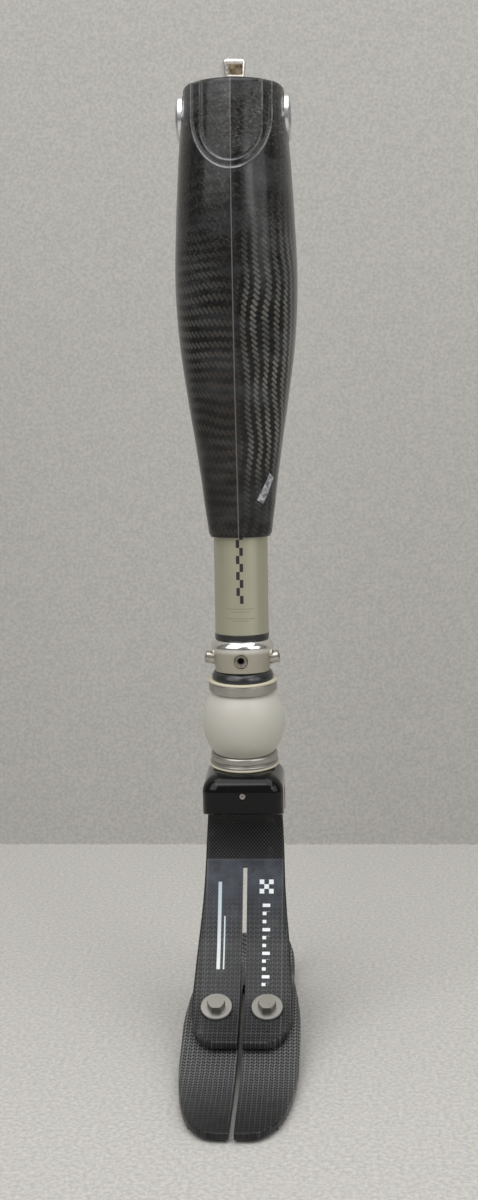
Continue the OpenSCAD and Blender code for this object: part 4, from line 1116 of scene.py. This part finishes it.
def build_sticker():
    """Blank foil label, a thin slab laid on the knee frame and turned about its middle.

    Its outline's places (s, t) become an arc length from the crease and a height,
    and the frame's section gives the point at that arc length.
    """
    turn, long, wide = math.radians(-33), 19.0, 5.2
    middle_arc, middle_z, lifts = 19.5, 345, (-0.1, 0.14)
    s, t = np.meshgrid(np.linspace(-0.5, 0.5, 13), np.linspace(-0.5, 0.5, 31))
    arc = middle_arc + s * wide * math.cos(turn) - t * long * math.sin(turn)
    z = middle_z + s * wide * math.sin(turn) + t * long * math.cos(turn)
    share = np.linspace(0, 0.75, 400)
    rows = frame_rows(z.ravel())
    x, y = frame_section(rows, 0, share)
    run = run_along(x, y)
    point = np.arange(arc.size)
    after = np.clip((run < arc.reshape(-1, 1)).sum(1), 1, run.shape[1] - 1)
    start, end = run[point, after - 1], run[point, after]
    part = (arc.ravel() - start) / (end - start)
    px, py = (v[point, after - 1] + part * (v[point, after] - v[point, after - 1])
              for v in (x, y))
    nx, ny = px / rows[:, 0] ** 2, py / rows[:, 1] ** 2
    size = np.hypot(nx, ny)
    sheets = [np.stack([px + nx / size * lift, py + ny / size * lift + LEG_Y, z.ravel()], -1)
              for lift in lifts]
    n, m = s.shape
    quads = grid_quads(n, m)
    rim = np.concatenate([np.arange(m), np.arange(2 * m - 1, n * m, m),
                          np.arange(n * m - 2, (n - 1) * m - 1, -1), np.arange((n - 2) * m, 0, -m)])
    nxt = np.roll(rim, -1)
    sides = np.stack([rim, nxt, nxt + n * m, rim + n * m], -1)
    faces = np.concatenate([quads[:, ::-1], quads + n * m, sides])
    label = make_object("foil_label", np.concatenate(sheets), faces)
    return place(wear(label, "sticker"), "knee_frame", "screw_steel")


# ---------------------------------------------------------------- operators

# Sizes of the floor and backdrop, in millimetres
STAGE_POINTS, STAGE_REACH, FLOOR_BEHIND = 9, 9000, 5000
BACKDROP_BEHIND, BACKDROP_HEIGHT = 400, 3000
# Strength of the world as a light, and what the camera sees beyond that
WORLD_LIGHT, WORLD_EXTRA = 0.28, 0.3
LAMPS = [
    # name, place and the point it faces in metres, size in metres, power in watts
    ("key", (-1.2, -1.6, 1.9), (0, 0.05, 0.3), 2.2, 30),
    ("fill", (1.7, -1.3, 1.2), (0, 0.05, 0.3), 1.6, 13),
    ("ceiling", (0.1, -0.5, 2.3), (0, 0.05, 0.3), 2.2, 34),
    ("window", (0.6, -0.9, 0.8), (0, 0.05, 0.45), 0.28, 0.9),
]


class PROSTHESIS_OT_stage(bpy.types.Operator):
    """Makes the floor, backdrop, lamps, world and camera"""
    bl_idname = "prosthesis.stage"
    bl_label = "Stage"
    bl_options = {"REGISTER", "UNDO"}

    def execute(self, context):
        count = STAGE_POINTS
        x = np.linspace(-STAGE_REACH, STAGE_REACH, count)
        wall = np.full(count, LEG_Y + BACKDROP_BEHIND)
        for name, depth, lift in (
                ("floor", np.linspace(-STAGE_REACH, FLOOR_BEHIND, count), np.zeros(count)),
                ("backdrop", wall, np.linspace(0, BACKDROP_HEIGHT, count))):
            verts = np.stack(np.broadcast_arrays(x[None], depth[:, None], lift[:, None]), -1)
            sheet = make_object(name, verts.reshape(-1, 3), grid_quads(count, count))
            wear(sheet, "paper floor")
        for settings in LAMPS:
            lamp(*settings)
        world = bpy.data.worlds.new("Studio")
        bpy.context.scene.world = world
        world.use_nodes = True
        world.node_tree.nodes["Background"].inputs["Color"].default_value = (0.8, 0.8, 0.8, 1)
        sky = world.node_tree.nodes["Background"].inputs["Strength"]
        path = world.node_tree.nodes.new("ShaderNodeLightPath")
        seen = world.node_tree.nodes.new("ShaderNodeMath")
        seen.operation = "MULTIPLY_ADD"
        seen.inputs[1].default_value = WORLD_EXTRA
        seen.inputs[2].default_value = WORLD_LIGHT
        world.node_tree.links.new(path.outputs["Is Camera Ray"], seen.inputs[0])
        world.node_tree.links.new(seen.outputs[0], sky)
        bpy.context.scene.view_settings.view_transform = "Standard"
        camera()
        return {"FINISHED"}


def lamp(name, at, towards, size, power):
    """Soft square lamp that faces a point."""
    light = bpy.data.lights.new(name, "AREA")
    light.size, light.energy = size, power
    obj = bpy.data.objects.new(name, light)
    obj.location = at
    obj.rotation_euler = (Vector(towards) - Vector(at)).to_track_quat("-Z", "Y").to_euler()
    bpy.context.scene.collection.objects.link(obj)


def camera():
    """Camera in front of the leg, a little to its right, looking down with a slight roll."""
    cam = bpy.data.cameras.new("camera")
    cam.sensor_fit = "VERTICAL"
    cam.sensor_height = 24.0
    cam.lens = 30.0
    cam.clip_start, cam.clip_end = 0.05, 30
    obj = bpy.data.objects.new("camera", cam)
    bpy.context.scene.collection.objects.link(obj)
    distance, eye = 0.945, 0.385
    swing, aim, down, roll = (math.radians(d) for d in (3.3, 0.1, 6.7, -0.9))
    leg = Vector((0, LEG_Y * MM, 0))
    obj.location = leg + Vector((math.sin(swing) * distance, -math.cos(swing) * distance, eye))
    turn = (Matrix.Rotation(swing + aim, 4, "Z") @ Matrix.Rotation(math.pi / 2 - down, 4, "X")
            @ Matrix.Rotation(roll, 4, "Z"))
    obj.rotation_euler = turn.to_euler()
    bpy.context.scene.camera = obj


class PROSTHESIS_OT_finishes(bpy.types.Operator):
    """Gives every CAD node its finish"""
    bl_idname = "prosthesis.finishes"
    bl_label = "Finishes"
    bl_options = {"REGISTER", "UNDO"}

    def execute(self, context):
        for name, nodes in NODE_FINISHES.items():
            for node in nodes:
                wear(frame["nodes"][node], name)
        return {"FINISHED"}


class PROSTHESIS_OT_frame_shell(bpy.types.Operator):
    """Makes the carbon knee frame"""
    bl_idname = "prosthesis.frame_shell"
    bl_label = "Frame shell"
    bl_options = {"REGISTER", "UNDO"}

    def execute(self, context):
        build_frame_shell()
        return {"FINISHED"}


class PROSTHESIS_OT_blades(bpy.types.Operator):
    """Makes the upper blade and the sole blade"""
    bl_idname = "prosthesis.blades"
    bl_label = "Blades"
    bl_options = {"REGISTER", "UNDO"}

    def execute(self, context):
        upper = wear(build_blade("shin_blade", UPPER_STATIONS, 150, 4), "printed blade")
        place(upper, "foot", "carbon_blade", "upper_blade")
        sole = wear(build_blade("foot_blade", SOLE_STATIONS, 260, 22), "carbon blade")
        place(sole, "foot", "carbon_blade", "sole_blade")
        return {"FINISHED"}


class PROSTHESIS_OT_block(bpy.types.Operator):
    """Makes the gloss ankle block"""
    bl_idname = "prosthesis.block"
    bl_label = "Ankle block"
    bl_options = {"REGISTER", "UNDO"}

    def execute(self, context):
        build_block()
        return {"FINISHED"}


class PROSTHESIS_OT_pyramid(bpy.types.Operator):
    """Makes the alignment pyramid above the knee"""
    bl_idname = "prosthesis.pyramid"
    bl_label = "Alignment pyramid"
    bl_options = {"REGISTER", "UNDO"}

    def execute(self, context):
        build_pyramid()
        return {"FINISHED"}


class PROSTHESIS_OT_module(bpy.types.Operator):
    """Makes the receiver and the turned rings of the ankle module"""
    bl_idname = "prosthesis.module"
    bl_label = "Ankle module"
    bl_options = {"REGISTER", "UNDO"}

    def execute(self, context):
        build_receiver()
        build_turned_pieces()
        return {"FINISHED"}


class PROSTHESIS_OT_label(bpy.types.Operator):
    """Makes the blank foil label on the knee frame"""
    bl_idname = "prosthesis.label"
    bl_label = "Foil label"
    bl_options = {"REGISTER", "UNDO"}

    def execute(self, context):
        build_sticker()
        return {"FINISHED"}


class PROSTHESIS_OT_ball(bpy.types.Operator):
    """Makes the urethane ball"""
    bl_idname = "prosthesis.ball"
    bl_label = "Ball"
    bl_options = {"REGISTER", "UNDO"}

    def execute(self, context):
        a = np.radians(np.linspace(-46, 46, 40))
        crown = np.stack([6.3 + 20 * np.cos(a), -36 + 26.4 * np.sin(a)], -1)
        profile = np.concatenate([[[11.4, -55.9], [17.5, -55.9], [19.6, -55.9]], crown,
                                  [[19.6, -16.1], [17.5, -16.1], [11.4, -16.1]]])
        matrix = ankle_matrix()
        ball = wear(sharpen(revolve("soft_ball", profile, matrix)), "ball urethane")
        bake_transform(ball)
        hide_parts("elastomer_ball")
        return {"FINISHED"}


class PROSTHESIS_PT_panel(bpy.types.Panel):
    """Lists the operators and the settings in the sidebar"""
    bl_idname = "PROSTHESIS_PT_panel"
    bl_label = "Prosthesis"
    bl_space_type = "VIEW_3D"
    bl_region_type = "UI"
    bl_category = "Prosthesis"

    def draw(self, context):
        for group in (context.scene.prosthesis_sizes, context.scene.prosthesis_colours):
            for key in group.__annotations__:
                self.layout.prop(group, key)
        for operator in OPERATORS:
            self.layout.operator(operator.bl_idname)


OPERATORS = (
    PROSTHESIS_OT_stage,
    PROSTHESIS_OT_finishes,
    PROSTHESIS_OT_frame_shell,
    PROSTHESIS_OT_pyramid,
    PROSTHESIS_OT_blades,
    PROSTHESIS_OT_block,
    PROSTHESIS_OT_module,
    PROSTHESIS_OT_ball,
    PROSTHESIS_OT_label,
)
CLASSES = (ProsthesisSizes, ProsthesisColours, *OPERATORS, PROSTHESIS_PT_panel)


def register():
    for cls in CLASSES:
        bpy.utils.register_class(cls)
    bpy.types.Scene.prosthesis_sizes = bpy.props.PointerProperty(type=ProsthesisSizes)
    bpy.types.Scene.prosthesis_colours = bpy.props.PointerProperty(type=ProsthesisColours)


def unregister():
    del bpy.types.Scene.prosthesis_colours
    del bpy.types.Scene.prosthesis_sizes
    for cls in reversed(CLASSES):
        bpy.utils.unregister_class(cls)


def main():
    register()
    for operator in OPERATORS:
        group, name = operator.bl_idname.split(".")
        if getattr(getattr(bpy.ops, group), name)() != {"FINISHED"}:
            raise RuntimeError(f"{operator.bl_label} did not finish")


if __name__ == "__main__":
    main()
